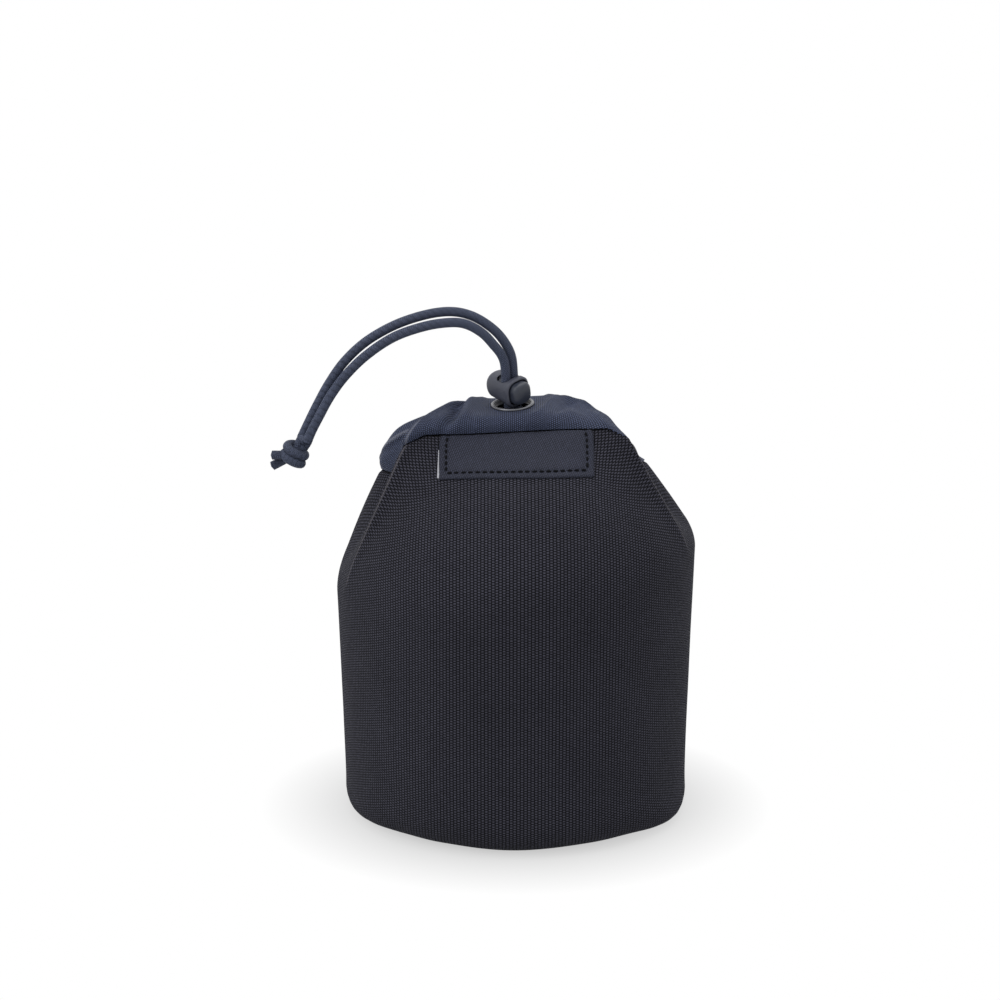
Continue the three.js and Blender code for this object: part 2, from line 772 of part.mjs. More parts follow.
function lockSpring() {
  const from = boreEnd + SPRING_WIRE + GAP;
  const to = plungerEnd - SPRING_WIRE - GAP;
  const points = [];
  const count = SPRING_TURNS * 10;
  for (let i = 0; i <= count; i += 1) {
    const turn = (2 * Math.PI * SPRING_TURNS * i) / count;
    const point = lockCentre.clone().addScaledVector(lockAxis, lerp(from, to, i / count));
    point.addScaledVector(lockAcross, SPRING_RADIUS * Math.cos(turn));
    points.push(point.addScaledVector(STRAND_DIRECTION, SPRING_RADIUS * Math.sin(turn)));
  }
  return cord(points, SPRING_WIRE, SPRING_SIDES, count + 8);
}

function drawcordStrand(side, course) {
  const start = eyeletCentre.clone().addScaledVector(lockAcross, (side * CORD_SPACING) / 2);
  const points = [0, STRAND_STRAIGHT / 2, STRAND_STRAIGHT].map((run) =>
    start.clone().addScaledVector(STRAND_DIRECTION, run),
  );
  for (const offset of course) {
    points.push(eyeletCentre.clone().add(new THREE.Vector3(...offset)));
  }
  return cord(points, CORD_RADIUS, CORD_SIDES, 30);
}

// cord in the tunnel: being tight it takes the short way from seat to seat, then climbs to the
// eyelet at both ends and meets the free strands there
function drawcordLoop() {
  const low = slope * eyeletReach - CHANNEL_SAG + CORD_RADIUS - GAP / 2;
  const climb = (side) => {
    const meeting = eyeletCentre.clone().addScaledVector(lockAcross, (side * CORD_SPACING) / 2);
    const points = [GAP, CORD_RADIUS].map((run) => meeting.clone().addScaledVector(STRAND_DIRECTION, -run));
    for (const [out, rise] of [
      [0.6 * CORD_CLIMB, 0.6 * CORD_RADIUS],
      [1.4 * CORD_CLIMB, 0],
    ]) {
      const seat = onChannel(eyeletAngle, [eyeletInwards, low + rise]);
      points.push(seat.add(new THREE.Vector3(side * out, 0, side * out * seamSlope)));
    }
    return points;
  };
  const angles = wallAngles();
  const first = SEAT_STEPS + 1;
  const seats = angles.slice(first, angles.length - first + 1).map(cordSeat);
  const points = climb(1);
  seats.forEach((seat, i) => {
    const before = seats[Math.max(0, i - 1)];
    const after = seats[Math.min(seats.length - 1, i + 1)];
    points.push(before.clone().lerp(after, 0.5).lerp(seat, 0.5));
  });
  points.push(...climb(-1).reverse());
  return cord(points, CORD_RADIUS, CORD_SIDES, 60);
}

// overhand knot of both strands: two crossed turns round a core, and two tails
function drawcordKnot() {
  const ends = [OUTER_COURSE, INNER_COURSE].map((course) => new THREE.Vector3(...course.at(-1)));
  const before = [OUTER_COURSE, INNER_COURSE].map((course) => new THREE.Vector3(...course.at(-2)));
  const entry = ends[0].clone().add(ends[1]).multiplyScalar(0.5);
  const axis = entry.clone().sub(before[0].add(before[1]).multiplyScalar(0.5)).normalize();
  const top = entry.clone().add(eyeletCentre).addScaledVector(axis, CORD_RADIUS - GAP);
  const side = perpendicular(axis);
  const turnRadius = 1.75 * CORD_RADIUS;
  const pieces = [rod(top, axis, turnRadius, -0.2 * CORD_RADIUS, 3 * CORD_RADIUS, 16)];
  for (const [run, tilt] of [
    [0.6, 0.25],
    [2.2, -0.35],
  ]) {
    const centre = top.clone().addScaledVector(axis, run * CORD_RADIUS);
    const lean = axis.clone().applyAxisAngle(side, tilt);
    const ring = welded(new THREE.TorusGeometry(turnRadius, CORD_RADIUS, CORD_SIDES, KNOT_STEPS));
    const turn = new THREE.Quaternion().setFromUnitVectors(up, lean);
    pieces.push(ring.applyQuaternion(turn).translate(centre.x, centre.y, centre.z));
  }
  const foot = top.clone().addScaledVector(axis, 2 * CORD_RADIUS);
  for (const [lift, rise] of [
    [0.9, -0.35],
    [-0.9, -0.75],
  ]) {
    const lean = new THREE.Vector3(-0.85, -0.2 * lift, rise).normalize();
    const root = foot.clone().addScaledVector(side, lift * CORD_RADIUS);
    pieces.push(rod(root, lean, CORD_RADIUS, 0, TAIL_LENGTH, CORD_SIDES));
  }
  return joined(...pieces);
}

const foamInset = SHELL + GAP;
const liningInset = foamInset + FOAM + GAP;
const pieces = {
  body_panel: [wallPly(0, SHELL), FINISHES.bodyWeave],
  base_panel: [baseDisc(0, SHELL), FINISHES.bodyWeave],
  wall_foam: [wallPly(foamInset, FOAM), FINISHES.padding],
  base_foam: [baseDisc(foamInset, FOAM), FINISHES.padding],
  wall_lining: [wallPly(liningInset, LINING), FINISHES.lining],
  base_lining: [baseDisc(liningInset, LINING), FINISHES.lining],
  base_binding: [baseBinding(), FINISHES.binding],
  back_seam_binding: [backSeamBinding(), FINISHES.binding],
  mouth_seam_binding: [mouthSeamBinding(), FINISHES.binding],
  cord_channel: [cordChannel(), FINISHES.channelWeave],
  front_label: [frontLabel(), FINISHES.labelWeave],
  eyelet_barrel: [eyeletBarrel(), FINISHES.eyeletMetal],
  eyelet_washer: [eyeletWasher(), FINISHES.eyeletMetal],
  drawcord_loop: [drawcordLoop(), FINISHES.cordBraid],
  drawcord_strand_outer: [drawcordStrand(1, OUTER_COURSE), FINISHES.cordBraid],
  drawcord_strand_inner: [drawcordStrand(-1, INNER_COURSE), FINISHES.cordBraid],
  drawcord_knot: [drawcordKnot(), FINISHES.cordBraid],
  lock_barrel: [lockBarrel(), FINISHES.lockPlastic],
  lock_plunger: [lockPlunger(), FINISHES.lockPlastic],
  lock_spring: [lockSpring(), FINISHES.springSteel],
};

const pouch = new THREE.Group();
pouch.name = "lens_pouch";
for (const [name, [geometry, finish]] of Object.entries(pieces)) {
  const mesh = new THREE.Mesh(geometry, new THREE.MeshStandardMaterial(finish));
  mesh.name = name;
  pouch.add(mesh);
}

export default pouch;
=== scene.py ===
"""Padded drawstring lens pouch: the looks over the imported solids. Metres, +Z up, the front faces -Y."""

import json
import math

import bmesh
import bpy
from mathutils import Matrix, Vector, noise

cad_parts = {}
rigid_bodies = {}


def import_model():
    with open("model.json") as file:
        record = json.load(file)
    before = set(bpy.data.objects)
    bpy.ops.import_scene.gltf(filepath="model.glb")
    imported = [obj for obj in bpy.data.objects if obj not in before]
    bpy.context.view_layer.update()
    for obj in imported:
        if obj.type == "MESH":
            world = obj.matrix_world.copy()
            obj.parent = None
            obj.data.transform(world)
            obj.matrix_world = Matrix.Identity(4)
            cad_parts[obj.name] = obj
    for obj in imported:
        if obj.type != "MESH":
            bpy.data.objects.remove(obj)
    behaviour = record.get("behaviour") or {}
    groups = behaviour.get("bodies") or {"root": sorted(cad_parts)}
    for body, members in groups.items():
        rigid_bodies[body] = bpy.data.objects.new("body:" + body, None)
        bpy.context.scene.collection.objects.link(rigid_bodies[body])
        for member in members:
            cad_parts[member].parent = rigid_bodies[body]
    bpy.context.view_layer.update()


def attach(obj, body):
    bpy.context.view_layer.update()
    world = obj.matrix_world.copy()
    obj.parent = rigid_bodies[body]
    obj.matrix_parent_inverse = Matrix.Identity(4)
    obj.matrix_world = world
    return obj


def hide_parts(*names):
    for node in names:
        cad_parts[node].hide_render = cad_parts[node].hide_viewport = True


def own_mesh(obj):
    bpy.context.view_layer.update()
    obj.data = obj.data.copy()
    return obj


MM = 0.001

# sizes of the solids, in millimetres and degrees
GAP = 0.3
SHELL = 1.0
FOAM = 4.0
LINING = 0.5
BINDING = 0.6
BINDING_WIDTH = 10
BASE_RADIUS = 56.6
BASE_EDGE_INSIDE = 0.8
BASE_FRONT_ROUNDING = 4.5
BASE_NOSE = 1.6
BASE_NOSE_TURN = 14
BASE_FRONT_END = 75
BASE_FRONT_EASE = 35
SHOULDER_RADIUS = 58.8
SHOULDER_HEIGHT = 80.3
SHOULDER_TILT = 7.3
SHOULDER_ROUNDING = 0.3
FRONT_ROUNDING = 0.7
UPPER_BULGE = 0.8
RIDGE_DRIFT = 0.25
RIDGE_DRIFT_END = 100
RIDGE_DRIFT_EASE = 35
FRONT_DEPTH = 24
FRONT_HALF_WIDTH = 35
PLEATS = 5
PLEAT_DEPTH = 6
GATHER_RADIUS = 46
GATHER_RIGHT_TUCK = 2.2
SEAM_HEIGHT = 112.5
SEAM_FRONT_RISE = 17.5
SEAM_LEVEL = 29
SEAM_TILT = 1.4
CHANNEL_CLOTH = 0.5
CHANNEL_LEAN = 23
CHANNEL_HOLLOW = 7
CHANNEL_TOP = 132
CHANNEL_TOP_TILT = 0.9
CHANNEL_BACK_DROP = 2.5
CHANNEL_RIGHT_DROP = 4
CHANNEL_RIGHT_START = 65
CHANNEL_RIGHT_FALL = 32
CHANNEL_RIGHT_END = 150
CHANNEL_RIGHT_CLIMB = 50
PLEAT_EASE = 0.6
CHANNEL_TILT = 7
CHANNEL_FRONT_LIP = 3.4
CHANNEL_LIP_DROP = 3
CHANNEL_SAG = 3
RUCK = 6.5
RUCK_END = 66
MOUTH_SPINE = 9
MOUTH_BACK = 4
LABEL_WIDTH = 48.5
LABEL_HEIGHT = 18.2
LABEL_CLOTH = 0.6
LABEL_BOW = 1.4
EYELET_BORE = 5
EYELET_WALL = 0.5
EYELET_FLANGE = 7
EYELET_RIM = 0.8
EYELET_WASHER = 0.6
EYELET_SEAT = 1
EYELET_OFFSET = -1.2
CORD_RADIUS = 1.5
CORD_SPACING = 3.2
CORD_SEAT = 0.58
CORD_CLIMB = 4
STRAND_STRAIGHT = 17
LOCK_RADIUS = 4.6
LOCK_TIP_RADIUS = 4.2
LOCK_WALL = 0.7
LOCK_FLOOR = 2.2
LOCK_CHAMFER = 1.2
LOCK_TRAVEL = 1.8
LOCK_DOME = 2.8
LOCK_SQUARE = 0.12
CORD_PLAY = 0.2
PLUNGER_WALL = 1.5
SPRING_ROOM = 3.6
SPRING_RADIUS = 2.2
SPRING_WIRE = 0.15
SPRING_TURNS = 3
BUTTON_PROUD = 2.8
STRAND_DIRECTION = Vector((-0.1, -0.3, 0.95)).normalized()
LOCK_HEADING = Vector((0.62, -0.78, 0))
OUTER_COURSE = [
    (-3.6, -6, 22.6), (-8, -6.6, 26.8), (-13.5, -7.3, 29.9), (-19.8, -8, 31.1), (-27.7, -8.7, 30.1),
    (-37, -9.4, 27), (-45.8, -10, 22), (-52.6, -10.7, 15.8), (-57.5, -11.4, 9), (-61.3, -12.1, 2.2),
    (-64.3, -12.8, -3.8), (-66.4, -13.5, -8.2),
]
INNER_COURSE = [
    (-6.6, -8.2, 21.3), (-10, -9, 24.8), (-14.7, -9.8, 27.4), (-19.8, -10.5, 28), (-27.6, -11.2, 26.9),
    (-37, -12, 23.7), (-45.5, -12.8, 18.2), (-52.2, -13.5, 11.8), (-57, -14.2, 5.4), (-60.8, -15, -1.4),
    (-63, -15.8, -5.6), (-64.4, -16.5, -9),
]

# rounding of the front corners, and how far past the eyelet's seat the cord has come down in its channel
CORNER_SOFTNESS = 1.2
LOOP_START = 5.4

# shares of the way up the wall at which it has turned round the base edge and comes to the shoulder,
# and between which the back seam's tape lies, and the share of the upper wall where the mouth's starts
BASE_TURN_SHARE = 0.08
SHOULDER_SHARE = 0.55
BACK_TAPE_FOOT = 0.32
BACK_TAPE_HEAD = 0.85
MOUTH_TAPE_FOOT = 5 / 6

# folds of the wall's cloth: heights in millimetres, places and spreads as turns or as shares of the way up,
# and how often swells and ripples come
WALL_SWELL = 0.55
SWELL_ROUND = 1.6
SWELL_UP = 2.6
WALL_RIPPLE = 0.25
RIPPLE_ROUND = 3
RIPPLE_UP = 7
BASE_BAG_LEFT = 0.9
BASE_BAG_RIGHT = 2.0
BASE_BAG_ANGLE = 1.05
BASE_BAG_TURN = 0.35
BASE_BAG_SHARE = 0.05
BASE_BAG_SPREAD = 0.03
RIDGE_CREST = 0.8
RIDGE_TURN = 0.05
RIDGE_HOLLOW = 0.6
HOLLOW_BEHIND = 0.12
HOLLOW_TURN = 0.06
SIDE_CRUMPLE = 0.5
CRUMPLE_ROUND = 9
CRUMPLE_UP = 2
BACK_SEAM_GROOVE = 0.7
BACK_SEAM_TURN = 0.012
BACK_WELT = 0.25
BACK_WELT_BESIDE = 0.04
BACK_WELT_TURN = 0.025
TOP_SEAM_GROOVE = 0.6
TOP_SEAM_SPREAD = 0.012

# gathers and finer puckers of the channel's cloth: heights at the front and at the sides, how often they
# come, where the sides begin, and how far past the eyelet's seat the slack is full
GATHER_FRONT = 0.35
GATHER_SIDE = 1.3
GATHER_ROUND = 9
GATHER_UP = 1.5
PUCKER_FRONT = 0.05
PUCKER_SIDE = 0.5
PUCKER_ROUND = 22
PUCKER_UP = 2.5
SIDE_START = 0.8
SIDE_TURN = 0.5
SLACK_RUN = 12

# folds of the channel beside the eyelet: place across, drift, half width, height and spread up the cloth
FRONT_FOLDS = (
    (-19.4, 14, 1.7, -2.8, 0.2),
    (-15.9, 10, 1.8, 0.9, 0.2),
    (9.5, 35, 1.7, 1.1, 0.1),
    (15.5, 30, 2.0, -1.0, 0.1),
    (19.0, -27, 2.6, -0.8, 0.1),
    (23.0, 0, 3.0, -0.8, 0.2),
    (29.5, 0, 2.5, 0.6, 0.2),
)
FRONT_FOLD_SHARE = 0.3

# folds at the left of the channel: a bulge with a slanting ridge on it, and the folded corner in front of
# it; angles are turns from the front, and shares are parts of the way over the cloth
BULGE_ANGLE = -1.72
BULGE_TURN = 0.22
BULGE_CROWN = 1.4
CROWN_START = 0.16
CROWN_RISE = 0.14
CROWN_END = 0.44
CROWN_FALL = 0.16
BULGE_RIDGE = 0.5
BULGE_RIDGE_ANGLE = -1.66
BULGE_RIDGE_TURN = 0.13
BULGE_FOOT_ANGLE = -1.715
BULGE_FOOT_SHARE = 0.2
RIDGE_SPREAD = 0.022
CREASE_BELOW = 0.05
CREASE_SPREAD = 0.035
CORNER_LEAN = 0.2
CORNER_SET_BACK = 0.005
CORNER_CREST = 0.7
CORNER_TURN = 0.035
CORNER_HOLLOW = 1.7
CORNER_HOLLOW_BEHIND = 0.085
CORNER_HOLLOW_TURN = 0.04

# painted highlights along fold edges: their strength and half width, the distance that counts as faded
# out, how fast they fade past their ends, and how much further round than the right ridge its highlight
# lies
HIGHLIGHT_STRENGTH = 0.75
HIGHLIGHT_WIDTH = 0.55
HIGHLIGHT_FADE = 3.0
HIGHLIGHT_RUN_OUT = 10
RIGHT_HIGHLIGHT = 0.012
NOT_HIGHLIGHTED = Vector((100, 0, 0))

# length of the bulge's cloth from edge to edge, half the turn of the painted highlight on its ridge, and
# how faint the corner's painted highlight is and how far up it goes
BULGE_LENGTH = 26
BULGE_HIGHLIGHT_TURN = 0.08
CORNER_HIGHLIGHT_FAINT = 0.12
CORNER_HIGHLIGHT_END = 0.2

# the label: its face off the wall, rounded edges, stitches, and the pale end that is turned under
LABEL_OFF = 0.9
LABEL_EDGE = 0.8
LABEL_EDGE_DROP = 0.35
LABEL_BUCKLE = 0.2
STITCH_SIDE = 22
STITCH_RISE = 2.4
STITCH_CLEAR = 0.6
STITCH_PITCH = 2.1
STITCH_SHARE = 0.72
STITCH_WIDTH = 0.42
STITCH_HEIGHT = 0.26
STITCH_OFF = 0.7
STITCH_GROOVE = 0.34
TURNED_SHOWN = 0.51
TURNED_TUCK = 0.35
TURNED_TAPER = 0.3
TURNED_FOOT = 0.2
TURNED_HEAD = 12
TURNED_OFF = 0.28
TURNED_CLOTH = 0.2

# the rolled bead and the throat of the eyelet, the grain of its plating, and the distances from its
# centre between which painted shade in its throat gives way to the rim's own colour
EYELET_BEAD = 0.55
EYELET_THROAT = 0.6
EYELET_THROAT_DEPTH = 0.9
EYELET_REST = 0.05
EYELET_EASE = 0.1
EYELET_CURL = 0.6
PLATING_GRAIN = 0.667
PLATING_DEPTH = 0.004
PLATING_SHADE_FULL = 5.7
PLATING_SHADE_CLEAR = 6.3

# the lip and the band at the mouth of the lock's barrel, and the play, chamfer and rounding of its button
LOCK_LIP = 0.6
LOCK_BAND = 1.8
LOCK_STEP = 0.25
PLUNGER_PLAY = 0.1
PLUNGER_CHAMFER = 0.3
BUTTON_ROUNDING = 1.5
BUTTON_CROWN = 0.1
SLOT_LENGTH = 30

# the knot: how far it sits to the left of its strands and below them, how many points before their ends
# give its direction, how soon and to what radius it squeezes the cord, its loop's half width and half
# depth, its middle height, the strands' spread, the fall along the loop, its tilt and its turns
KNOT_SHIFT = 1.0
KNOT_DROP = 4.2
KNOT_LEAD = 9
KNOT_SQUEEZE = 9
KNOT_CORD_RADIUS = 1.45
KNOT_WIDTH = 3.1
KNOT_DEPTH = 2.8
KNOT_MIDDLE = 1.6
KNOT_SPREAD = 1.3
KNOT_FALL = 1.4
KNOT_TILT = 0.8
KNOT_TURNS = (-35, 15, 65, 115, 165, 215, 260)

# how finely the pieces are drawn
WALL_COLUMNS = 288
WALL_ROWS = 120
INNER_COLUMNS = 144
INNER_ROWS = 60
CHANNEL_COLUMNS = 360
CHANNEL_ROWS = 72
BASE_COLUMNS = 96
BASE_ROWS = 16
LABEL_COLUMNS = 102
LABEL_ROWS = 33
STRAND_COLUMNS = 20
CORD_COLUMNS = 16
LOOP_STEPS = 40
COIL_STEPS = 24
DOME_STEPS = 12
FINE_STEPS = 400
HALVINGS = 30

# angle from which an edge is sharp, how near points are merged, and how deep a hole is punched
SHARP_ANGLE = 40
MERGE = 0.005
PUNCH_DEPTH = 2.2

# how far worn patches of cloth are apart, in millimetres, how dark and light they are, and the share of
# light on every other float
WORN_PATCH = 22.2
WORN_DARK = 0.8
WORN_LIGHT = 1.2
SECOND_FLOAT = 0.8

# the camera, in millimetres of lens, metres and degrees, and the lamps: name, place, watts and width
CAMERA_LENS = 87.3
CAMERA_SENSOR = 36
CAMERA_PLACE = (-0.0052, -0.773, 0.277)
CAMERA_TILT = 77.3
LAMPS = (
    ("key", (-1.0, -0.7, 1.1), 7.0, 1.2),
    ("overhead", (0.15, 0.1, 1.3), 5.0, 1.2),
)
LAMP_AIM = Vector((0, 0, 0.08))
SKY_LIGHT = 0.46

# the floor, in metres: its radius, how far it lies under the pouch, and where it fades to white
FLOOR_RADIUS = 4
FLOOR_DROP = 0.0003
FLOOR_FADE_START = 0.03
FLOOR_FADE_END = 0.085
FLOOR_WHITE = 0.35

STACK = SHELL + GAP + FOAM + GAP + LINING
BASE_EDGE = STACK + BASE_EDGE_INSIDE
CHANNEL_FOOT = STACK + BINDING + 2 * GAP
EYELET_REACH = EYELET_FLANGE + EYELET_SEAT
CORNER_ANGLE = math.atan2(FRONT_HALF_WIDTH, FRONT_DEPTH)
CORNER_RADIUS = math.hypot(FRONT_DEPTH, FRONT_HALF_WIDTH)
EYELET_ANGLE = math.atan2(EYELET_OFFSET, FRONT_DEPTH)
UP = Vector((0, 0, 1))
TINY = 0.001


def lerp(a, b, t):
    """Value at a share t of the way from a to b."""
    return a + (b - a) * t


def clamp(value, low=0.0, high=1.0):
    """Value kept between low and high."""
    return max(low, min(high, value))


def bell(distance, width):
    """Falls from 1 at no distance to almost nothing at twice the width."""
    return math.exp(-((distance / width) ** 2))


def soft_min(a, b, width):
    """The smaller of two values, with the change between them rounded over a width."""
    share = max(width - abs(a - b), 0) / width
    return min(a, b) - share * share * width / 4


def smooth(t):
    """Eases from 0 to 1."""
    share = clamp(t)
    return share * share * (3 - 2 * share)


def polar(angle, radius, z):
    """Point at a turn from the front, a radius and a height."""
    return Vector((radius * math.sin(angle), -radius * math.cos(angle), z))


def smooth_line(points, share):
    """Point at a share of the way along a smooth line through the points."""
    place = clamp(share) * (len(points) - 1)
    i = min(int(place), len(points) - 2)
    t = place - i
    before = points[max(i - 1, 0)]
    here = points[i]
    there = points[i + 1]
    after = points[min(i + 2, len(points) - 1)]
    bend = 2 * before - 5 * here + 4 * there - after
    twist = 3 * here - before - 3 * there + after
    return here + 0.5 * t * (there - before + t * (bend + t * twist))


# the wall of the pouch, as its solids have it, with the folds that cloth adds


def shoulder_height(angle):
    """Height at which the tilted shoulder lies."""
    return SHOULDER_HEIGHT + SHOULDER_TILT * math.sin(angle)


def seam_height(angle):
    """Height of the top seam, which rises over the flat front."""
    level = math.atan2(SEAM_LEVEL, FRONT_DEPTH)
    past = clamp((abs(angle) - level) / (math.pi / 2 - level))
    return SEAM_HEIGHT + SEAM_TILT * math.sin(angle) + SEAM_FRONT_RISE * (1 - past) ** 1.3


def base_edge(angle):
    """Rounding of the base edge: wider at the front, but for a blunt nose in the middle."""
    turn = math.degrees(abs(angle))
    front = BASE_FRONT_ROUNDING * smooth((BASE_FRONT_END - turn) / BASE_FRONT_EASE)
    return BASE_EDGE + front - BASE_NOSE * bell(turn, BASE_NOSE_TURN)


def gather_radius(angle, inset):
    """Radius of the gathered seam: a flat front, two corners and the pleats."""
    turn = abs(angle)
    past = max(0, turn - CORNER_ANGLE) / (math.pi - CORNER_ANGLE)
    tuck = GATHER_RIGHT_TUCK * max(0, math.sin(angle))
    crests = lerp(CORNER_RADIUS, GATHER_RADIUS - tuck, min(1, 3 * past))
    pleats = crests - inset - PLEAT_DEPTH * (1 - math.cos(PLEATS * math.pi * past))
    if turn > 0.49 * math.pi:
        return pleats
    return soft_min((FRONT_DEPTH - inset) / math.cos(turn), pleats, CORNER_SOFTNESS)


def gather_share(angle, t):
    """Share of the way in to the seam, with the shoulder rounded off."""
    bend = lerp(SHOULDER_ROUNDING, FRONT_ROUNDING, max(0, math.cos(angle)) ** 2)
    bent = t * t / (2 * bend) if t < bend else t - bend / 2
    return bent / (1 - bend / 2)


def ridge_drift(angle, t):
    """How far round the corner ridges have moved at a share of the way up to the seam."""
    turn = math.degrees(abs(angle))
    near = smooth(turn / math.degrees(CORNER_ANGLE)) * smooth((RIDGE_DRIFT_END - turn) / RIDGE_DRIFT_EASE)
    return math.copysign(RIDGE_DRIFT * (1 - t) * near, angle)


def upper_point(angle, t, inset):
    """Point of a ply between the shoulder at 0 and the top seam at 1."""
    gathered = gather_radius(angle - ridge_drift(angle, t), inset)
    straight = lerp(SHOULDER_RADIUS - inset, gathered, gather_share(angle, t))
    radius = straight + UPPER_BULGE * math.sin(math.pi * t)
    return polar(angle, radius, lerp(shoulder_height(angle), seam_height(angle), t))


def upper_share(share):
    """Share of the way from the shoulder to the top seam."""
    return clamp((share - SHOULDER_SHARE) / (1 - SHOULDER_SHARE))


def wall_point(angle, share, inset):
    """Point of a ply, from the base seam at 0 round the base edge and up to the top seam at 1."""
    edge = base_edge(angle)
    if share < BASE_TURN_SHARE:
        turn = math.pi / 2 * share / BASE_TURN_SHARE
        radius = BASE_RADIUS - edge + (edge - inset) * math.sin(turn)
        return polar(angle, radius, edge - (edge - inset) * math.cos(turn))
    if share < SHOULDER_SHARE:
        t = (share - BASE_TURN_SHARE) / (SHOULDER_SHARE - BASE_TURN_SHARE)
        radius = lerp(BASE_RADIUS, SHOULDER_RADIUS, t**1.5) - inset
        return polar(angle, radius, lerp(edge, shoulder_height(angle), t))
    return upper_point(angle, upper_share(share), inset)


def past_ridge(angle, top):
    """Turn by which a point lies behind the nearer corner ridge."""
    return abs(angle) - CORNER_ANGLE - RIDGE_DRIFT * (1 - top)


def wall_folds(angle, share):
    """How far slack cloth stands off the even wall, in millimetres."""
    # swells and ripples, held at both seams
    around = polar(angle, SWELL_ROUND, 0)
    held = math.sin(math.pi * clamp(share)) ** 0.5
    lift = WALL_SWELL * held * noise.noise(around + Vector((0, 0, SWELL_UP * share)))
    lift += WALL_RIPPLE * held * noise.noise(RIPPLE_ROUND * around + Vector((5, 0, RIPPLE_UP * share)))
    # bags over the base edge
    bag = lerp(BASE_BAG_LEFT, BASE_BAG_RIGHT, clamp(angle))
    lift += (
        bag
        * bell(abs(angle) - BASE_BAG_ANGLE, BASE_BAG_TURN)
        * bell(share - BASE_BAG_SHARE, BASE_BAG_SPREAD)
    )
    # corner ridges, the hollows behind them, and the crumpled sides
    top = upper_share(share)
    ridge = past_ridge(angle, top)
    lift += RIDGE_CREST * top**0.5 * bell(ridge, RIDGE_TURN)
    lift -= RIDGE_HOLLOW * top * bell(ridge - HOLLOW_BEHIND, HOLLOW_TURN)
    if abs(angle) > CORNER_ANGLE:
        crumple = noise.noise(Vector((CRUMPLE_ROUND * angle, 0, CRUMPLE_UP * share)))
        lift += SIDE_CRUMPLE * top**2 * crumple
    # back seam and top seam
    beside = math.pi - abs(angle)
    lift -= BACK_SEAM_GROOVE * held * bell(beside, BACK_SEAM_TURN)
    lift += BACK_WELT * held * bell(beside - BACK_WELT_BESIDE, BACK_WELT_TURN)
    lift -= TOP_SEAM_GROOVE * bell(1 - share, TOP_SEAM_SPREAD)
    return lift


def wall_highlight(angle, share):
    """How far a point lies from the painted highlight on a corner ridge, and how far that highlight has
    faded.
    """
    top = upper_share(share)
    past = past_ridge(angle, top)
    if angle > 0:
        past -= RIGHT_HIGHLIGHT
    return Vector((SHOULDER_RADIUS * past, HIGHLIGHT_FADE * (1 - smooth(6 * top)), 0))


# the folded channel over the mouth

SLOPE = math.tan(math.radians(CHANNEL_TILT))
SEAM_SLOPE = SEAM_TILT / FRONT_DEPTH
EYELET_INWARDS = CHANNEL_FRONT_LIP + EYELET_REACH
FLAT_END = CHANNEL_FRONT_LIP + 2 * EYELET_REACH
LIP_RISE = CHANNEL_TOP + RUCK - CHANNEL_LIP_DROP - SEAM_HEIGHT - SEAM_FRONT_RISE

# section of the channel over the flat front, as points inwards and upwards of its outer seam edge, how
# far each of them follows the crest, and the section at the sides, as shares of its lean and its rise
FRONT_ROLL = [
    Vector(point)
    for point in (
        (0, 0),
        (-0.3, 0.45 * LIP_RISE),
        (0.9, 0.86 * LIP_RISE),
        (CHANNEL_FRONT_LIP, LIP_RISE),
        (EYELET_INWARDS, LIP_RISE + SLOPE * EYELET_REACH),
        (FLAT_END, LIP_RISE + SLOPE * 2 * EYELET_REACH),
        (FLAT_END + 2.4, 0.8 * LIP_RISE + SLOPE * 2 * EYELET_REACH),
        (FLAT_END + 3.2, 0.28 * LIP_RISE + SLOPE * 2 * EYELET_REACH),
        (FLAT_END + 1.2, SLOPE * EYELET_REACH - CHANNEL_SAG / 2),
        (EYELET_INWARDS + EYELET_REACH / 3, 0.4 - CHANNEL_SAG),
        (CHANNEL_FOOT + 2.6, -CHANNEL_SAG),
        (CHANNEL_FOOT + 0.8, 0.8 - CHANNEL_SAG),
        (CHANNEL_FOOT, 0),
    )
]
FRONT_LIFT = (0, 0, 0.2, 0.45, 0.8, 1, 1, 1, 0.8, 0.3, 0, 0, 0)
SIDE_ROLL = (
    (0, 0), (-0.03, 0.16), (0.04, 0.38), (0.21, 0.61), (0.48, 0.8), (0.75, 0.96),
    (0.9, 0.99), (1, 0.91), (1.04, 0.5), (0.87, 0.14), (0.68, 0.02), (0.52, 0.01),
)


def channel_rise(angle):
    """Height of the channel's crest over the seam."""
    top = CHANNEL_TOP + CHANNEL_TOP_TILT * math.sin(angle) + CHANNEL_BACK_DROP * min(0, math.cos(angle))
    degrees = math.degrees(angle)
    fall = smooth((degrees - CHANNEL_RIGHT_START) / CHANNEL_RIGHT_FALL)
    climb = smooth((CHANNEL_RIGHT_END - degrees) / CHANNEL_RIGHT_CLIMB)
    top -= CHANNEL_RIGHT_DROP * fall * climb
    start = math.atan2(EYELET_REACH, FRONT_DEPTH)
    past = clamp((abs(angle) - start) / (math.radians(RUCK_END) - start))
    return top + RUCK * (1 - past**6) - seam_height(angle) - GAP


def side_outline(angle):
    """Section of the channel past the front corners."""
    lean = CHANNEL_LEAN + PLEAT_EASE * (gather_radius(angle, 0) - GATHER_RADIUS)
    rise = channel_rise(angle)
    hollow = 4 * CHANNEL_HOLLOW * max(0, math.sin(angle))
    outline = [Vector((i * lean + hollow * u * (1 - u), u * rise)) for i, u in SIDE_ROLL]
    return outline + [Vector((CHANNEL_FOOT, 0))]


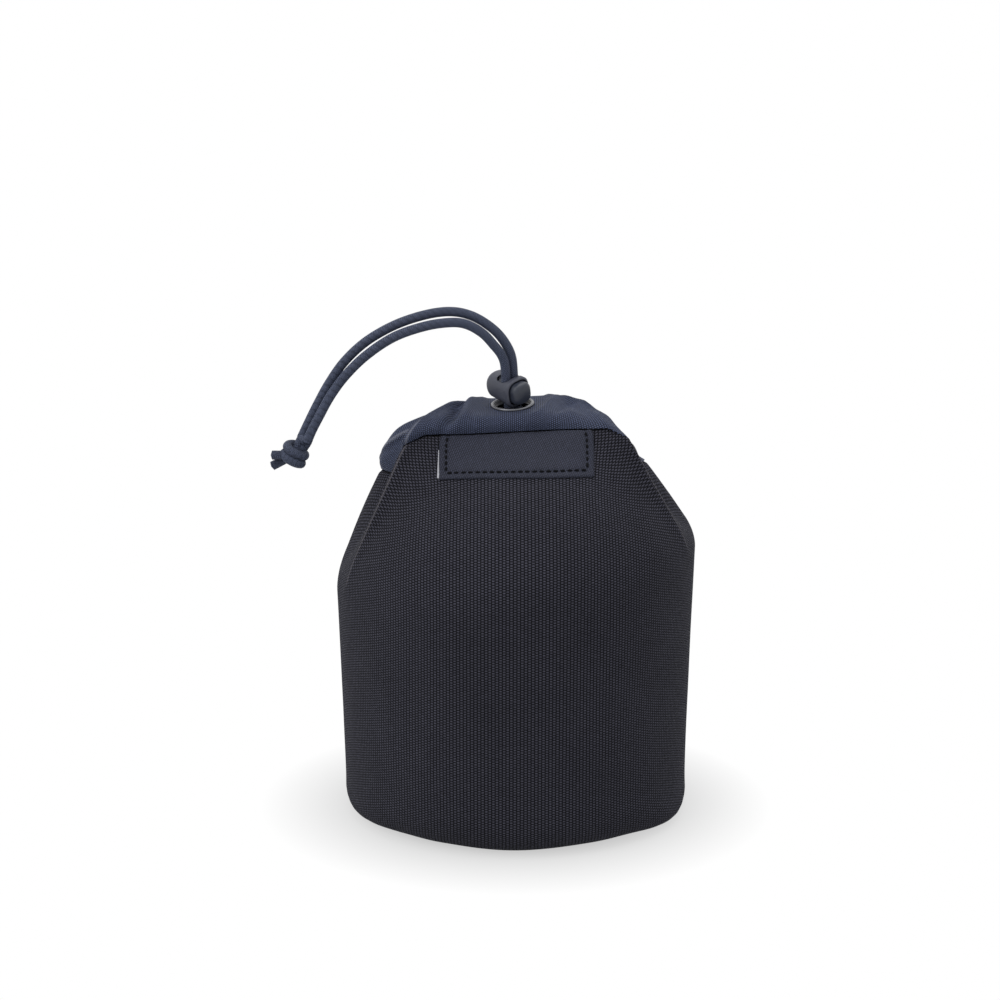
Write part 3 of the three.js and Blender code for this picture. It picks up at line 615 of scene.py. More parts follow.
def roll_outline(angle):
    """Section of the channel, as points inwards and upwards of its outer seam edge."""
    if abs(angle) > CORNER_ANGLE - TINY:
        return side_outline(angle)
    x = FRONT_DEPTH * math.tan(abs(angle))
    share = max(0, (x - EYELET_REACH) / (FRONT_HALF_WIDTH - EYELET_REACH))
    if share < TINY:
        return FRONT_ROLL
    corner = side_outline(math.copysign(CORNER_ANGLE, angle))
    lift = smooth(2.5 * share) * (channel_rise(angle) - lerp(FRONT_ROLL[5].y, corner[5].y, share))
    return [
        a.lerp(b, share) + Vector((0, lift * part))
        for a, b, part in zip(FRONT_ROLL, corner, FRONT_LIFT)
    ]


def on_channel(angle, spot):
    """Point of the channel for a spot of its section."""
    foot = polar(angle, gather_radius(angle, 0), seam_height(angle) + GAP)
    spine = Vector((clamp(foot.x, -MOUTH_SPINE, MOUTH_SPINE), MOUTH_BACK, foot.z))
    return foot + (spine - foot).normalized() * spot.x + UP * spot.y


def bulge_ridge(angle, share):
    """Share of the cloth by which a point lies above the slanting ridge on the left bulge."""
    return share - BULGE_FOOT_SHARE - (angle - BULGE_FOOT_ANGLE)


def corner_edge(angle, share):
    """Turn by which a point lies in front of the folded left corner, which leans to the right."""
    return angle + CORNER_ANGLE + CORNER_SET_BACK - CORNER_LEAN * share


def left_folds(angle, share, free):
    """The bulge at the left with its ridge, and the folded corner in front of it."""
    ridge = bulge_ridge(angle, share)
    crease = bell(ridge, RIDGE_SPREAD) - bell(ridge + CREASE_BELOW, CREASE_SPREAD)
    fold = BULGE_RIDGE * crease * bell(angle - BULGE_RIDGE_ANGLE, BULGE_RIDGE_TURN)
    corner = corner_edge(angle, share)
    fold += free * CORNER_CREST * bell(corner, CORNER_TURN)
    fold -= free * CORNER_HOLLOW * bell(corner + CORNER_HOLLOW_BEHIND, CORNER_HOLLOW_TURN)
    crown = smooth((share - CROWN_START) / CROWN_RISE) * smooth((CROWN_END - share) / CROWN_FALL)
    return fold + BULGE_CROWN * free * crown * bell(angle - BULGE_ANGLE, BULGE_TURN)


def channel_gathers(angle, share):
    """How far the gathered cloth stands off its even roll, in millimetres."""
    x = abs(FRONT_DEPTH * math.tan(angle)) if abs(angle) < CORNER_ANGLE else FRONT_HALF_WIDTH
    free = clamp((x - EYELET_REACH) / SLACK_RUN) * math.sin(math.pi * share) ** 0.7
    around = polar(angle, 1, 0)
    gather = noise.noise(GATHER_ROUND * around + Vector((0, 0, GATHER_UP * share)))
    pucker = noise.noise(PUCKER_ROUND * around + Vector((3, 0, PUCKER_UP * share)))
    side = clamp((abs(angle) - SIDE_START) / SIDE_TURN)
    slack = lerp(GATHER_FRONT, GATHER_SIDE, side) * gather + lerp(PUCKER_FRONT, PUCKER_SIDE, side) * pucker
    lift = free * slack
    spot = on_channel(angle, smooth_line(roll_outline(angle), share))
    if spot.y < 0:
        up_cloth = share - FRONT_FOLD_SHARE
        for place, drift, width, height, spread in FRONT_FOLDS:
            lift += height * bell(spot.x - place - drift * up_cloth, width) * bell(up_cloth, spread)
    if angle < 0:
        lift += left_folds(angle, share, free)
    return lift


def channel_highlight(angle, share):
    """How far a point lies from the nearer painted highlight on a fold edge at the left, and how far that
    has faded.
    """
    past_end = max(0, abs(angle - BULGE_RIDGE_ANGLE) - BULGE_HIGHLIGHT_TURN)
    bulge = Vector((BULGE_LENGTH * bulge_ridge(angle, share), HIGHLIGHT_RUN_OUT * past_end, 0))
    faded = CORNER_HIGHLIGHT_FAINT + HIGHLIGHT_RUN_OUT * max(0, share - CORNER_HIGHLIGHT_END)
    corner = Vector((GATHER_RADIUS * corner_edge(angle, share), faded, 0))
    return min(bulge, corner, key=lambda edge: edge.length)


EYELET_CENTRE = on_channel(EYELET_ANGLE, FRONT_ROLL[4])
EYELET_AXIS = Vector((-SEAM_SLOPE, -SLOPE, 1)).normalized()
LOCK_AXIS = (LOCK_HEADING - STRAND_DIRECTION * LOCK_HEADING.dot(STRAND_DIRECTION)).normalized()
LOCK_ACROSS = STRAND_DIRECTION.cross(LOCK_AXIS)
LOCK_LIFT = (LOCK_RADIUS + EYELET_RIM + GAP) / STRAND_DIRECTION.dot(EYELET_AXIS)
LOCK_CENTRE = EYELET_CENTRE + STRAND_DIRECTION * LOCK_LIFT
LOCK_BORE = LOCK_RADIUS - LOCK_WALL
CORD_EDGE = CORD_RADIUS + CORD_PLAY
CORD_REACH = CORD_SPACING / 2 + CORD_RADIUS + CORD_PLAY
PLUNGER_END = -CORD_EDGE - PLUNGER_WALL
BORE_END = PLUNGER_END - SPRING_ROOM
LOCK_TIP = BORE_END - LOCK_FLOOR
LOCK_MOUTH = CORD_EDGE + LOCK_TRAVEL + GAP


# materials


def linear(hex_colour):
    """Linear colour of an sRGB hex value."""
    parts = [int(hex_colour[i : i + 2], 16) / 255 for i in (1, 3, 5)]
    return [c / 12.92 if c <= 0.04045 else ((c + 0.055) / 1.055) ** 2.4 for c in parts] + [1]


def add(tree, kind, links=None, **settings):
    """Node with its settings, where each input follows a socket or holds a value."""
    node = tree.nodes.new(kind)
    for name, value in settings.items():
        setattr(node, name, value)
    for name, source in (links or {}).items():
        if isinstance(source, bpy.types.NodeSocket):
            tree.links.new(source, node.inputs[name])
        else:
            node.inputs[name].default_value = source
    return node


def new_material(name, sockets):
    """Material with one principled shader; the sockets' values are set on it directly."""
    material = bpy.data.materials.new(name)
    material.use_nodes = True
    shader = material.node_tree.nodes["Principled BSDF"]
    for socket, value in sockets.items():
        shader.inputs[socket].default_value = value
    return material, material.node_tree, shader


def woven_cloth(name, light, dark, across, along, relief, sockets, turn=0.0, gap=0.28, painted_light=None):
    """Cloth of staggered thread floats: across and along are a float's width and length in millimetres,
    gap is the share of the smaller one that lies dark around each float, and the colour given last is
    a painted highlight laid along fold edges over the weave."""
    material, tree, shader = new_material(name, sockets)
    lengths = add(tree, "ShaderNodeUVMap", uv_map="weave")
    turned = (0, 0, math.radians(90 + turn))
    threads = add(
        tree,
        "ShaderNodeMapping",
        {"Vector": lengths.outputs[0], "Rotation": turned, "Scale": [1 / MM] * 3},
    )
    floats = add(
        tree,
        "ShaderNodeTexBrick",
        {
            "Vector": threads.outputs[0],
            "Color1": linear(light),
            "Color2": [SECOND_FLOAT * c for c in linear(light)[:3]] + [1],
            "Mortar": linear(dark),
            "Scale": 1.0,
            "Mortar Size": gap * min(across, along),
            "Mortar Smooth": 1.0,
            "Brick Width": along,
            "Row Height": across,
        },
    )
    place = add(tree, "ShaderNodeTexCoord")
    worn = add(
        tree,
        "ShaderNodeTexNoise",
        {"Vector": place.outputs["Object"], "Scale": 1 / (WORN_PATCH * MM), "Detail": 3.0},
    )
    shade = add(
        tree,
        "ShaderNodeMapRange",
        {"Value": worn.outputs[0], "To Min": WORN_DARK, "To Max": WORN_LIGHT},
    )
    tone = add(
        tree,
        "ShaderNodeMix",
        {0: 1.0, 6: floats.outputs["Color"], 7: shade.outputs[0]},
        data_type="RGBA",
        blend_type="MULTIPLY",
    )
    bump = add(
        tree,
        "ShaderNodeBump",
        {"Height": floats.outputs["Fac"], "Strength": 0.7, "Distance": relief * MM},
        invert=True,
    )
    # painted highlight: the weave's colour is blended towards a light colour along fold edges
    if painted_light:
        edge = add(tree, "ShaderNodeAttribute", attribute_name="fold_highlight")
        off = add(tree, "ShaderNodeVectorMath", {0: edge.outputs["Vector"]}, operation="LENGTH")
        highlight_share = add(
            tree,
            "ShaderNodeMapRange",
            {"Value": off.outputs["Value"], "From Max": HIGHLIGHT_WIDTH, "To Min": HIGHLIGHT_STRENGTH, "To Max": 0.0},
        )
        tone = add(
            tree,
            "ShaderNodeMix",
            {0: highlight_share.outputs[0], 6: tone.outputs[2], 7: linear(painted_light)},
            data_type="RGBA",
        )
    tree.links.new(tone.outputs[2], shader.inputs["Base Color"])
    tree.links.new(bump.outputs[0], shader.inputs["Normal"])
    return material


def grained(name, colour, width, depth, sockets):
    """Solid finish with a fine grain, of a width and depth in millimetres."""
    material, tree, shader = new_material(name, sockets)
    shader.inputs["Base Color"].default_value = linear(colour)
    place = add(tree, "ShaderNodeTexCoord")
    grain = add(
        tree,
        "ShaderNodeTexNoise",
        {"Vector": place.outputs["Object"], "Scale": 1 / (width * MM), "Detail": 2.0},
    )
    bump = add(
        tree,
        "ShaderNodeBump",
        {"Height": grain.outputs[0], "Strength": 0.5, "Distance": depth * MM},
    )
    tree.links.new(bump.outputs[0], shader.inputs["Normal"])
    return material


def plated_eyelet(name, rim, throat, sockets):
    """Plating of the eyelet: the rim's colour on its bead, and painted shade in the throat, where it
    darkens to the throat's colour.
    """
    material = grained(name, rim, PLATING_GRAIN, PLATING_DEPTH, sockets)
    tree = material.node_tree
    place = add(tree, "ShaderNodeTexCoord")
    reach = add(
        tree,
        "ShaderNodeVectorMath",
        {0: place.outputs["Object"], 1: EYELET_CENTRE * MM},
        operation="DISTANCE",
    )
    # share of the rim's colour: none in the throat, which gets painted shade, and all of it on the bead
    painted_light = add(
        tree,
        "ShaderNodeMapRange",
        {"Value": reach.outputs["Value"], "From Min": PLATING_SHADE_FULL * MM, "From Max": PLATING_SHADE_CLEAR * MM},
    )
    tone = add(
        tree,
        "ShaderNodeMix",
        {0: painted_light.outputs[0], 6: linear(throat), 7: linear(rim)},
        data_type="RGBA",
    )
    tree.links.new(tone.outputs[2], tree.nodes["Principled BSDF"].inputs["Base Color"])
    return material


def make_finishes():
    """The finishes of the pouch, by name."""
    cloth = {"Roughness": 0.9, "Specular IOR Level": 0.1, "Sheen Weight": 0.02, "Sheen Roughness": 0.5}
    crisp = {"Roughness": 0.65, "Specular IOR Level": 0.22, "Sheen Weight": 0.03, "Sheen Roughness": 0.4}
    return {
        # heavy nylon in a basket weave: blunt floats, matt, with a faint bloom at grazing angles, and a
        # painted highlight along the ridges at its front corners
        "nylon_basket": woven_cloth(
            "nylon_basket", "#585865", "#010102", 1.12, 0.84, 0.45, cloth, gap=0.38, painted_light="#77747A"
        ),
        # fine plain-woven nylon: tight threads with a cool sheen, drawn coarser than they are so that
        # they show, and a painted highlight along the folds at its left
        "nylon_plain": woven_cloth(
            "nylon_plain", "#606A8A", "#090B12", 0.64, 0.64, 0.24, crisp, gap=0.34, painted_light="#9498A8"
        ),
        # plain-woven polyester lining: smooth and dark, with little gloss
        "lining_plain": woven_cloth("lining_plain", "#2E2E33", "#17171A", 0.5, 0.5, 0.1, crisp),
        # woven polyester tape: matt, with ribs across it
        "tape_ribbed": woven_cloth("tape_ribbed", "#26262A", "#0F0F11", 0.9, 4.0, 0.2, cloth),
        # braided cover of an elastic cord: slanting picks, slightly glossy
        "cord_braid": woven_cloth("cord_braid", "#5E667E", "#1F2430", 0.55, 1.5, 0.12, crisp, 60),
        # woven satin label: fine lengthwise floats, drawn about twice as coarse as they are so that
        # they show
        "label_satin": woven_cloth("label_satin", "#3F4253", "#181A22", 0.62, 1.3, 0.14, crisp, 25),
        # pale back of the label's weave, seen where an end is turned under
        "label_reverse": woven_cloth("label_reverse", "#E2E3EA", "#B4B5BE", 0.4, 0.8, 0.06, crisp),
        # closed-cell foam: soft dark grain
        "foam_closed_cell": grained("foam_closed_cell", "#3A3A3D", 1.11, 0.3, {"Roughness": 0.9}),
        # twisted polyester thread: dark and matt
        "thread": grained("thread", "#121317", 0.333, 0.05, {"Roughness": 0.8, "Specular IOR Level": 0.1}),
        # gunmetal plating: dark and satin, with soft reflections, and painted shade darkening its throat
        "steel_gunmetal": plated_eyelet(
            "steel_gunmetal", "#6A6B70", "#222327", {"Roughness": 0.25, "Metallic": 0.9}
        ),
        # moulded acetal: charcoal, with a fine sparked grain, drawn coarser than it is so that it shows
        "acetal_moulded": grained("acetal_moulded", "#4C4F5C", 0.4, 0.03, {"Roughness": 0.5}),
        # the same acetal for the button: smoother, and darker with painted shade, as the button turns away
        # from the light
        "acetal_shaded": grained("acetal_shaded", "#323744", 0.4, 0.01, {"Roughness": 0.38}),
        # drawn spring wire: bright and smooth
        "steel_wire": grained("steel_wire", "#B4B4B6", 0.5, 0.005, {"Roughness": 0.3, "Metallic": 1.0}),
    }


# mesh building


def cloth_lengths(grid, columns, rows, gathered):
    """Lengths across the cloth from its middle, and up it from its lower edge, for each crossing."""
    middle = columns // 2
    across = {}
    along = {}
    for j in range(rows + 1):
        across[middle, j] = 0
        for i in range(middle + 1, columns + 1):
            across[i, j] = across[i - 1, j] + (grid[i, j] - grid[i - 1, j]).length
        for i in range(middle - 1, -1, -1):
            across[i, j] = across[i + 1, j] - (grid[i, j] - grid[i + 1, j]).length
    for i in range(columns + 1):
        along[i, 0] = 0
        for j in range(1, rows + 1):
            along[i, j] = along[i, j - 1] + (grid[i, j] - grid[i, j - 1]).length
    if gathered:
        across = {(i, j): across[i, rows // 5] for i, j in across}
    return across, along


def sheet(name, columns, rows, place, relief=None, hole=None, gathered=False, highlight=None):
    """Flat grid of cloth bent to shape: place(u, v) puts each crossing, and relief(u, v) then lifts it
    along its normal, all in millimetres. The UV map "weave" holds the lengths along the cloth in metres;
    gathered cloth keeps each upright thread at the length across that it has a fifth of the way up, so
    that its threads crowd in. A vector attribute holds, from the last function given, the distances in
    millimetres from a painted highlight along a fold edge."""
    shape = bmesh.new()
    fold_highlight = shape.verts.layers.float_vector.new("fold_highlight")
    bmesh.ops.create_grid(shape, x_segments=columns, y_segments=rows, size=0.5)
    spots = {v: (round((v.co.x + 0.5) * columns), round((v.co.y + 0.5) * rows)) for v in shape.verts}
    grid = {}
    for vert, (i, j) in spots.items():
        vert.co = place(i / columns, j / rows) * MM
        vert[fold_highlight] = highlight(i / columns, j / rows) if highlight else NOT_HIGHLIGHTED
        grid[i, j] = vert.co.copy()
    across, along = cloth_lengths(grid, columns, rows, gathered)
    weave = shape.loops.layers.uv.new("weave")
    for face in shape.faces:
        face.smooth = True
        for loop in face.loops:
            loop[weave].uv = across[spots[loop.vert]], along[spots[loop.vert]]
    bmesh.ops.remove_doubles(shape, verts=shape.verts, dist=MERGE * MM)
    if relief:
        shape.normal_update()
        lifts = {v: v.normal * relief(spots[v][0] / columns, spots[v][1] / rows) * MM for v in shape.verts}
        for vert, lift in lifts.items():
            vert.co += lift
    if hole:
        punch(shape, *hole)
    return finished(shape, name)


def punch(shape, centre, axis, radius):
    """Round hole in the cloth about an axis."""
    inside = []
    for vert in shape.verts:
        reach = vert.co - centre * MM
        height = reach.dot(axis)
        if abs(height) < PUNCH_DEPTH * MM and (reach - axis * height).length < radius * MM:
            inside.append(vert)
    rim = {v for vert in inside for face in vert.link_faces for v in face.verts} - set(inside)
    bmesh.ops.delete(shape, geom=inside, context="VERTS")
    for vert in rim:
        reach = vert.co - centre * MM
        flat = reach - axis * reach.dot(axis)
        vert.co += flat.normalized() * (radius * MM - flat.length)


def finished(shape, name):
    """Mesh object of a bmesh, linked to the scene."""
    mesh = bpy.data.meshes.new(name)
    shape.to_mesh(mesh)
    shape.free()
    item = bpy.data.objects.new(name, mesh)
    bpy.context.scene.collection.objects.link(item)
    return item


def thicken(item, thickness):
    """Gives cloth its thickness, on the inner side."""
    solidify = item.modifiers.new("cloth thickness", "SOLIDIFY")
    solidify.thickness = thickness * MM
    solidify.offset = -1
    return item


def tube(name, points, radius, columns, rows, tip=None):
    """Cord along a smooth line through the points; radius(share) is in millimetres.
    With a tip, that length of each end is rounded off and closed."""
    line = [smooth_line(points, j / rows) for j in range(rows + 1)]
    runs = [0.0]
    for a, b in zip(line, line[1:]):
        runs.append(runs[-1] + (b - a).length)
    frames = []
    normal = (line[1] - line[0]).orthogonal().normalized()
    for j in range(rows + 1):
        tangent = (line[min(j + 1, rows)] - line[max(j - 1, 0)]).normalized()
        normal = (normal - tangent * normal.dot(tangent)).normalized()
        frames.append((normal.copy(), tangent.cross(normal)))

    def place(u, v):
        j = round(v * rows)
        size = radius(v)
        if tip:
            end = clamp(min(runs[j], runs[-1] - runs[j]) / tip)
            size *= math.sqrt(max(0.0, 1 - (1 - end) ** 2))
        turn = 2 * math.pi * u
        return line[j] + frames[j][0] * size * math.cos(turn) + frames[j][1] * size * math.sin(turn)

    return sheet(name, columns, rows, place)


def spun(name, profile, frame, square=None, steps=72):
    """Outline of (radius, height) points in millimetres, turned about the frame's Z.
    With square(height), the round section is drawn out at its corners by that share."""
    shape = bmesh.new()
    line = [shape.verts.new((r * MM, 0, z * MM)) for r, z in profile]
    edges = [shape.edges.new(pair) for pair in zip(line, line[1:])]
    bmesh.ops.spin(
        shape,
        geom=line + edges,
        cent=(0, 0, 0),
        axis=(0, 0, 1),
        dvec=(0, 0, 0),
        angle=2 * math.pi,
        steps=steps,
        use_merge=True,
    )
    bmesh.ops.remove_doubles(shape, verts=shape.verts, dist=MERGE * MM)
    bmesh.ops.recalc_face_normals(shape, faces=shape.faces)
    if square:
        for vert in shape.verts:
            reach = max(vert.co.xy.length_squared, 1e-12)
            corner = 2 * vert.co.x * vert.co.y / reach
            vert.co.xy *= 1 + square(vert.co.z / MM) * corner * corner
    weave = shape.loops.layers.uv.new("weave")
    for face in shape.faces:
        face.smooth = True
        for loop in face.loops:
            loop[weave].uv = loop.vert.co.xy
    bmesh.ops.transform(shape, matrix=frame, verts=shape.verts)
    item = finished(shape, name)
    item.data.set_sharp_from_angle(angle=math.radians(SHARP_ANGLE))
    return item


def frame_at(centre, across, axis):
    """Matrix that puts X along across and Z along axis, at a point in millimetres."""
    turn = Matrix((across, axis.cross(across), axis)).transposed().to_4x4()
    return Matrix.Translation(centre * MM) @ turn


def arc(radius, middle, start, end, steps):
    """Points of an arc about a (radius, height) middle, from one angle to another in degrees."""
    turns = [math.radians(lerp(start, end, i / steps)) for i in range(steps + 1)]
    return [(middle[0] + radius * math.cos(t), middle[1] + radius * math.sin(t)) for t in turns]


def cut_slot(item, frame, low, high, rounding):
    """Cuts a rounded slot along the frame's Y through a piece; low and high are X and Z in millimetres."""
    shape = bmesh.new()
    bmesh.ops.create_cube(shape, size=1)
    size = Vector((high[0] - low[0], SLOT_LENGTH, high[1] - low[1]))
    bmesh.ops.scale(shape, vec=size * MM, verts=shape.verts)
    long = SLOT_LENGTH / 2 * MM
    uprights = [e for e in shape.edges if abs((e.verts[0].co - e.verts[1].co).y) > long]
    bmesh.ops.bevel(
        shape, geom=uprights, offset=rounding * MM, segments=8, profile=0.5, affect="EDGES", material=-1
    )
    middle = Vector(((high[0] + low[0]) / 2, 0, (high[1] + low[1]) / 2)) * MM
    bmesh.ops.transform(shape, matrix=frame @ Matrix.Translation(middle), verts=shape.verts)
    cutter = finished(shape, "slot cutter")
    boolean = item.modifiers.new("slot", "BOOLEAN")
    boolean.operation = "DIFFERENCE"
    boolean.object = cutter
    boolean.solver = "EXACT"
    shown = item.evaluated_get(bpy.context.evaluated_depsgraph_get())
    cut = bpy.data.meshes.new_from_object(shown)
    item.modifiers.remove(boolean)
    item.data = cut
    bpy.data.objects.remove(cutter)
    cut.set_sharp_from_angle(angle=math.radians(SHARP_ANGLE))
    return item


def dress(item, material, body, slot, *nodes):
    """Gives a piece its finish, the body that it rides on and the solids that it stands for."""
    item.data.materials.clear()
    item.data.materials.append(material)
    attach(item, body)
    if nodes:
        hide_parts(*nodes)
    return item


# the pieces


def angle_at(u):
    """Turn from the front at a share of the way round, from the back by the left."""
    return (u - 0.5) * 2 * math.pi


def wall_ply(name, inset, thickness, columns, rows):
    """One ply of the wall, set in from its face."""
    ply = sheet(
        name,
        columns,
        rows,
        lambda u, v: wall_point(angle_at(u), v, inset),
        lambda u, v: wall_folds(angle_at(u), v),
        highlight=lambda u, v: wall_highlight(angle_at(u), v),
    )
    return thicken(ply, thickness)


def disc(name, top, thickness):
    """Panel of the base, cut to the outline of the base seam."""
    panel = sheet(
        name,
        BASE_COLUMNS,
        BASE_ROWS,
        lambda u, v: polar(angle_at(u), (BASE_RADIUS - base_edge(angle_at(u)) - GAP) * (1 - v), top),
    )
    return thicken(panel, thickness)


def strand_points(side, course):
    """Course of a free strand: straight out of the eyelet, then on."""
    start = EYELET_CENTRE + LOCK_ACROSS * side * CORD_SPACING / 2
    points = [start + STRAND_DIRECTION * run for run in (0, STRAND_STRAIGHT / 2, STRAND_STRAIGHT)]
    return points + [EYELET_CENTRE + Vector(offset) for offset in course]


def even_points(points, step):
    """The same line with points at even steps, so that a cord on it has even rings."""
    fine = [smooth_line(points, i / FINE_STEPS) for i in range(FINE_STEPS + 1)]
    runs = [0.0]
    for a, b in zip(fine, fine[1:]):
        runs.append(runs[-1] + (b - a).length)
    count = max(2, round(runs[-1] / step))
    even = []
    k = 0
    for i in range(count + 1):
        goal = runs[-1] * i / count
        while k < FINE_STEPS - 1 and runs[k + 1] < goal:
            k += 1
        part = (goal - runs[k]) / max(runs[k + 1] - runs[k], 1e-9)
        even.append(fine[k].lerp(fine[k + 1], part))
    return even, runs[-1]


def cord_seat(angle):
    """Where the cord lies in the section of the channel."""
    outline = roll_outline(angle)
    above = (outline[4] + outline[5]) / 2
    below = (outline[8] + outline[9]) / 2
    return on_channel(angle, below.lerp(above, CORD_SEAT))


def channel_cord_points():
    """Course of the cord in the channel, climbing to the eyelet at both ends."""
    low = SLOPE * EYELET_REACH - CHANNEL_SAG + CORD_RADIUS - GAP / 2

    def climb(side):
        meeting = EYELET_CENTRE + LOCK_ACROSS * side * CORD_SPACING / 2
        points = [meeting - STRAND_DIRECTION * run for run in (GAP, CORD_RADIUS)]
        for out, rise in ((0.6 * CORD_CLIMB, 0.6 * CORD_RADIUS), (1.4 * CORD_CLIMB, 0)):
            seat = on_channel(EYELET_ANGLE, Vector((EYELET_INWARDS, low + rise)))
            points.append(seat + Vector((side * out, 0, side * out * SEAM_SLOPE)))
        return points

    first = math.atan2(EYELET_REACH + LOOP_START, FRONT_DEPTH)
    turns = [lerp(first, 2 * math.pi - first, i / LOOP_STEPS) for i in range(LOOP_STEPS + 1)]
    seats = [cord_seat(t if t <= math.pi else t - 2 * math.pi) for t in turns]
    befores = seats[:1] + seats[:-1]
    afters = seats[1:] + seats[-1:]
    tight = [a.lerp(b, 0.5).lerp(seat, 0.5) for a, seat, b in zip(befores, seats, afters)]
    return climb(1) + tight + climb(-1)[::-1]


def knot_course(side, top, frame):
    """Course of one strand through the overhand knot, from its entry to the end of its tail."""
    local = [
        (0.9 * side + KNOT_SHIFT, -0.6, -4.4),
        (0.9 * side + 0.8 * KNOT_SHIFT, -0.8, -2.0),
        (0.7 * side + 0.4 * KNOT_SHIFT, -1.0, 0.6),
        (1.2, -1.9, 2.6 + 0.5 * side),
    ]
    for degrees in KNOT_TURNS:
        turn = math.radians(degrees)
        done = (degrees - KNOT_TURNS[0]) / (KNOT_TURNS[-1] - KNOT_TURNS[0])
        height = KNOT_MIDDLE + KNOT_SPREAD * side - KNOT_FALL * done + KNOT_TILT * math.sin(turn)
        local.append((KNOT_WIDTH * math.cos(turn), KNOT_DEPTH * math.sin(turn), height))
    core = Vector((-0.4, 0.8 * side, 1.4))
    tail = Vector((-6.0 - 0.7 * side, 1.2 * side, 5.8 - 1.7 * side))
    local += [(0.4, -1, -0.6 + 0.8 * side), *(core.lerp(tail, part) for part in (0, 0.35, 0.7, 1))]
    return [top + frame @ Vector(point) for point in local]


def label_point(x, t, inset):
    """Point of the front at a given x, found between the two front corners."""
    low = -CORNER_ANGLE
    high = CORNER_ANGLE
    for _ in range(HALVINGS):
        middle = (low + high) / 2
        if upper_point(middle, t, inset).x < x:
            low = middle
        else:
            high = middle
    angle = (low + high) / 2
    return upper_point(angle, t, inset - wall_folds(angle, lerp(SHOULDER_SHARE, 1, t)))


# length of the front's slope from the shoulder to the top seam
LABEL_SLOPE = (upper_point(0, 1, 0) - upper_point(0, 0.5, 0)).length * 2


def on_label(x, rise, off):
    """Point over the front at x across and rise up from the label's lower edge, off the cloth by off."""
    top = math.atan2(x, FRONT_DEPTH)
    bow = LABEL_BOW * (1 - rise / LABEL_HEIGHT) * (1 - (2 * x / LABEL_WIDTH) ** 2)
    drop = (LABEL_HEIGHT - rise - bow) / LABEL_SLOPE * (seam_height(0) - shoulder_height(0))
    return label_point(x, 1 - drop / (seam_height(top) - shoulder_height(top)), -off)


def label_face(u, v):
    """How far the label's face is raised or drawn in, in millimetres."""
    edge = min(u * LABEL_WIDTH, (1 - u) * LABEL_WIDTH, v * LABEL_HEIGHT)
    rounded = LABEL_EDGE_DROP * (1 - math.sqrt(clamp(edge / LABEL_EDGE)))
    sewn = abs(max(abs(u - 0.5) * LABEL_WIDTH - STITCH_SIDE, STITCH_RISE - v * LABEL_HEIGHT))
    buckle = LABEL_BUCKLE * noise.noise(Vector((7 * u, 3 * v, 2)))
    return buckle - rounded - STITCH_GROOVE * bell(sewn, LABEL_EDGE)


def turned_end(u, v):
    """Point of the label's pale end, which is turned under at the left and tapers upwards."""
    edge = -LABEL_WIDTH / 2
    x = lerp(edge - TURNED_SHOWN + TURNED_TAPER * v, edge + TURNED_TUCK, u)
    off = TURNED_OFF - TURNED_CLOTH * (1 - u) ** 2
    return on_label(x, lerp(TURNED_FOOT, TURNED_HEAD, v), off)


def stitch_row(shape, start, end):
    """Row of thread stitches across the label from one (x, rise) to another."""
    span = Vector(end) - Vector(start)
    count = int(span.length / STITCH_PITCH)
    margin = (1 - STITCH_SHARE) / 2
    for i in range(count):
        a = Vector(start) + span * (i + margin) / count
        b = Vector(start) + span * (i + 1 - margin) / count
        tail = on_label(a.x, a.y, STITCH_OFF)
        head = on_label(b.x, b.y, STITCH_OFF)
        outwards = on_label(a.x, a.y, STITCH_OFF + 1) - tail
        along = (head - tail).normalized()
        across = outwards.cross(along).normalized()
        lay = frame_at((tail + head) / 2, along, along.cross(across).normalized())
        size = Matrix.Diagonal(((head - tail).length / 2 * MM, STITCH_WIDTH * MM, STITCH_HEIGHT * MM, 1))
        bmesh.ops.create_uvsphere(shape, u_segments=10, v_segments=6, radius=1, matrix=lay @ size)


def make_knot(paths, finish):
    """Overhand knot that both strands are tied in at their ends."""
    entry = (paths[0][-1] + paths[1][-1]) / 2
    down = (entry - (paths[0][-KNOT_LEAD] + paths[1][-KNOT_LEAD]) / 2).normalized()
    across = (Vector((1, 0, 0)) - down * down.x).normalized()
    frame = Matrix((across, down.cross(across), down)).transposed()
    top = entry + down * KNOT_DROP - across * KNOT_SHIFT

    def squeezed(share):
        return lerp(CORD_RADIUS, KNOT_CORD_RADIUS, clamp(KNOT_SQUEEZE * share))

    shape = bmesh.new()
    for side, path in zip((1, -1), paths):
        course = [path[-1]] + knot_course(side, top, frame)
        even, _ = even_points(course, step=0.45)
        half = tube("knot_half", even, squeezed, CORD_COLUMNS, len(even) - 1, tip=0.4)
        shape.from_mesh(half.data)
        bpy.data.objects.remove(half)
    return dress(finished(shape, "drawcord_knot_tied"), finish, "pouch", "cord_braid", "drawcord_knot")


def make_cords(finish):
    """The two free strands with their knot, and the cord in the channel."""
    made = []
    for name, side, course in (("strand_outer", 1, OUTER_COURSE), ("strand_inner", -1, INNER_COURSE)):
        path, length = even_points(strand_points(side, course), step=0.5)
        item = tube(name, path, lambda v: CORD_RADIUS, STRAND_COLUMNS, len(path) - 1)
        dress(item, finish, "pouch", "cord_braid", "drawcord_" + name)
        made.append((item, path, length))
    knot = make_knot([path for _, path, _ in made], finish)
    path, length = even_points(channel_cord_points(), step=0.8)
    inner = tube("channel_cord", path, lambda v: CORD_RADIUS, CORD_COLUMNS, len(path) - 1)
    dress(inner, finish, "pouch", "cord_braid", "drawcord_loop")


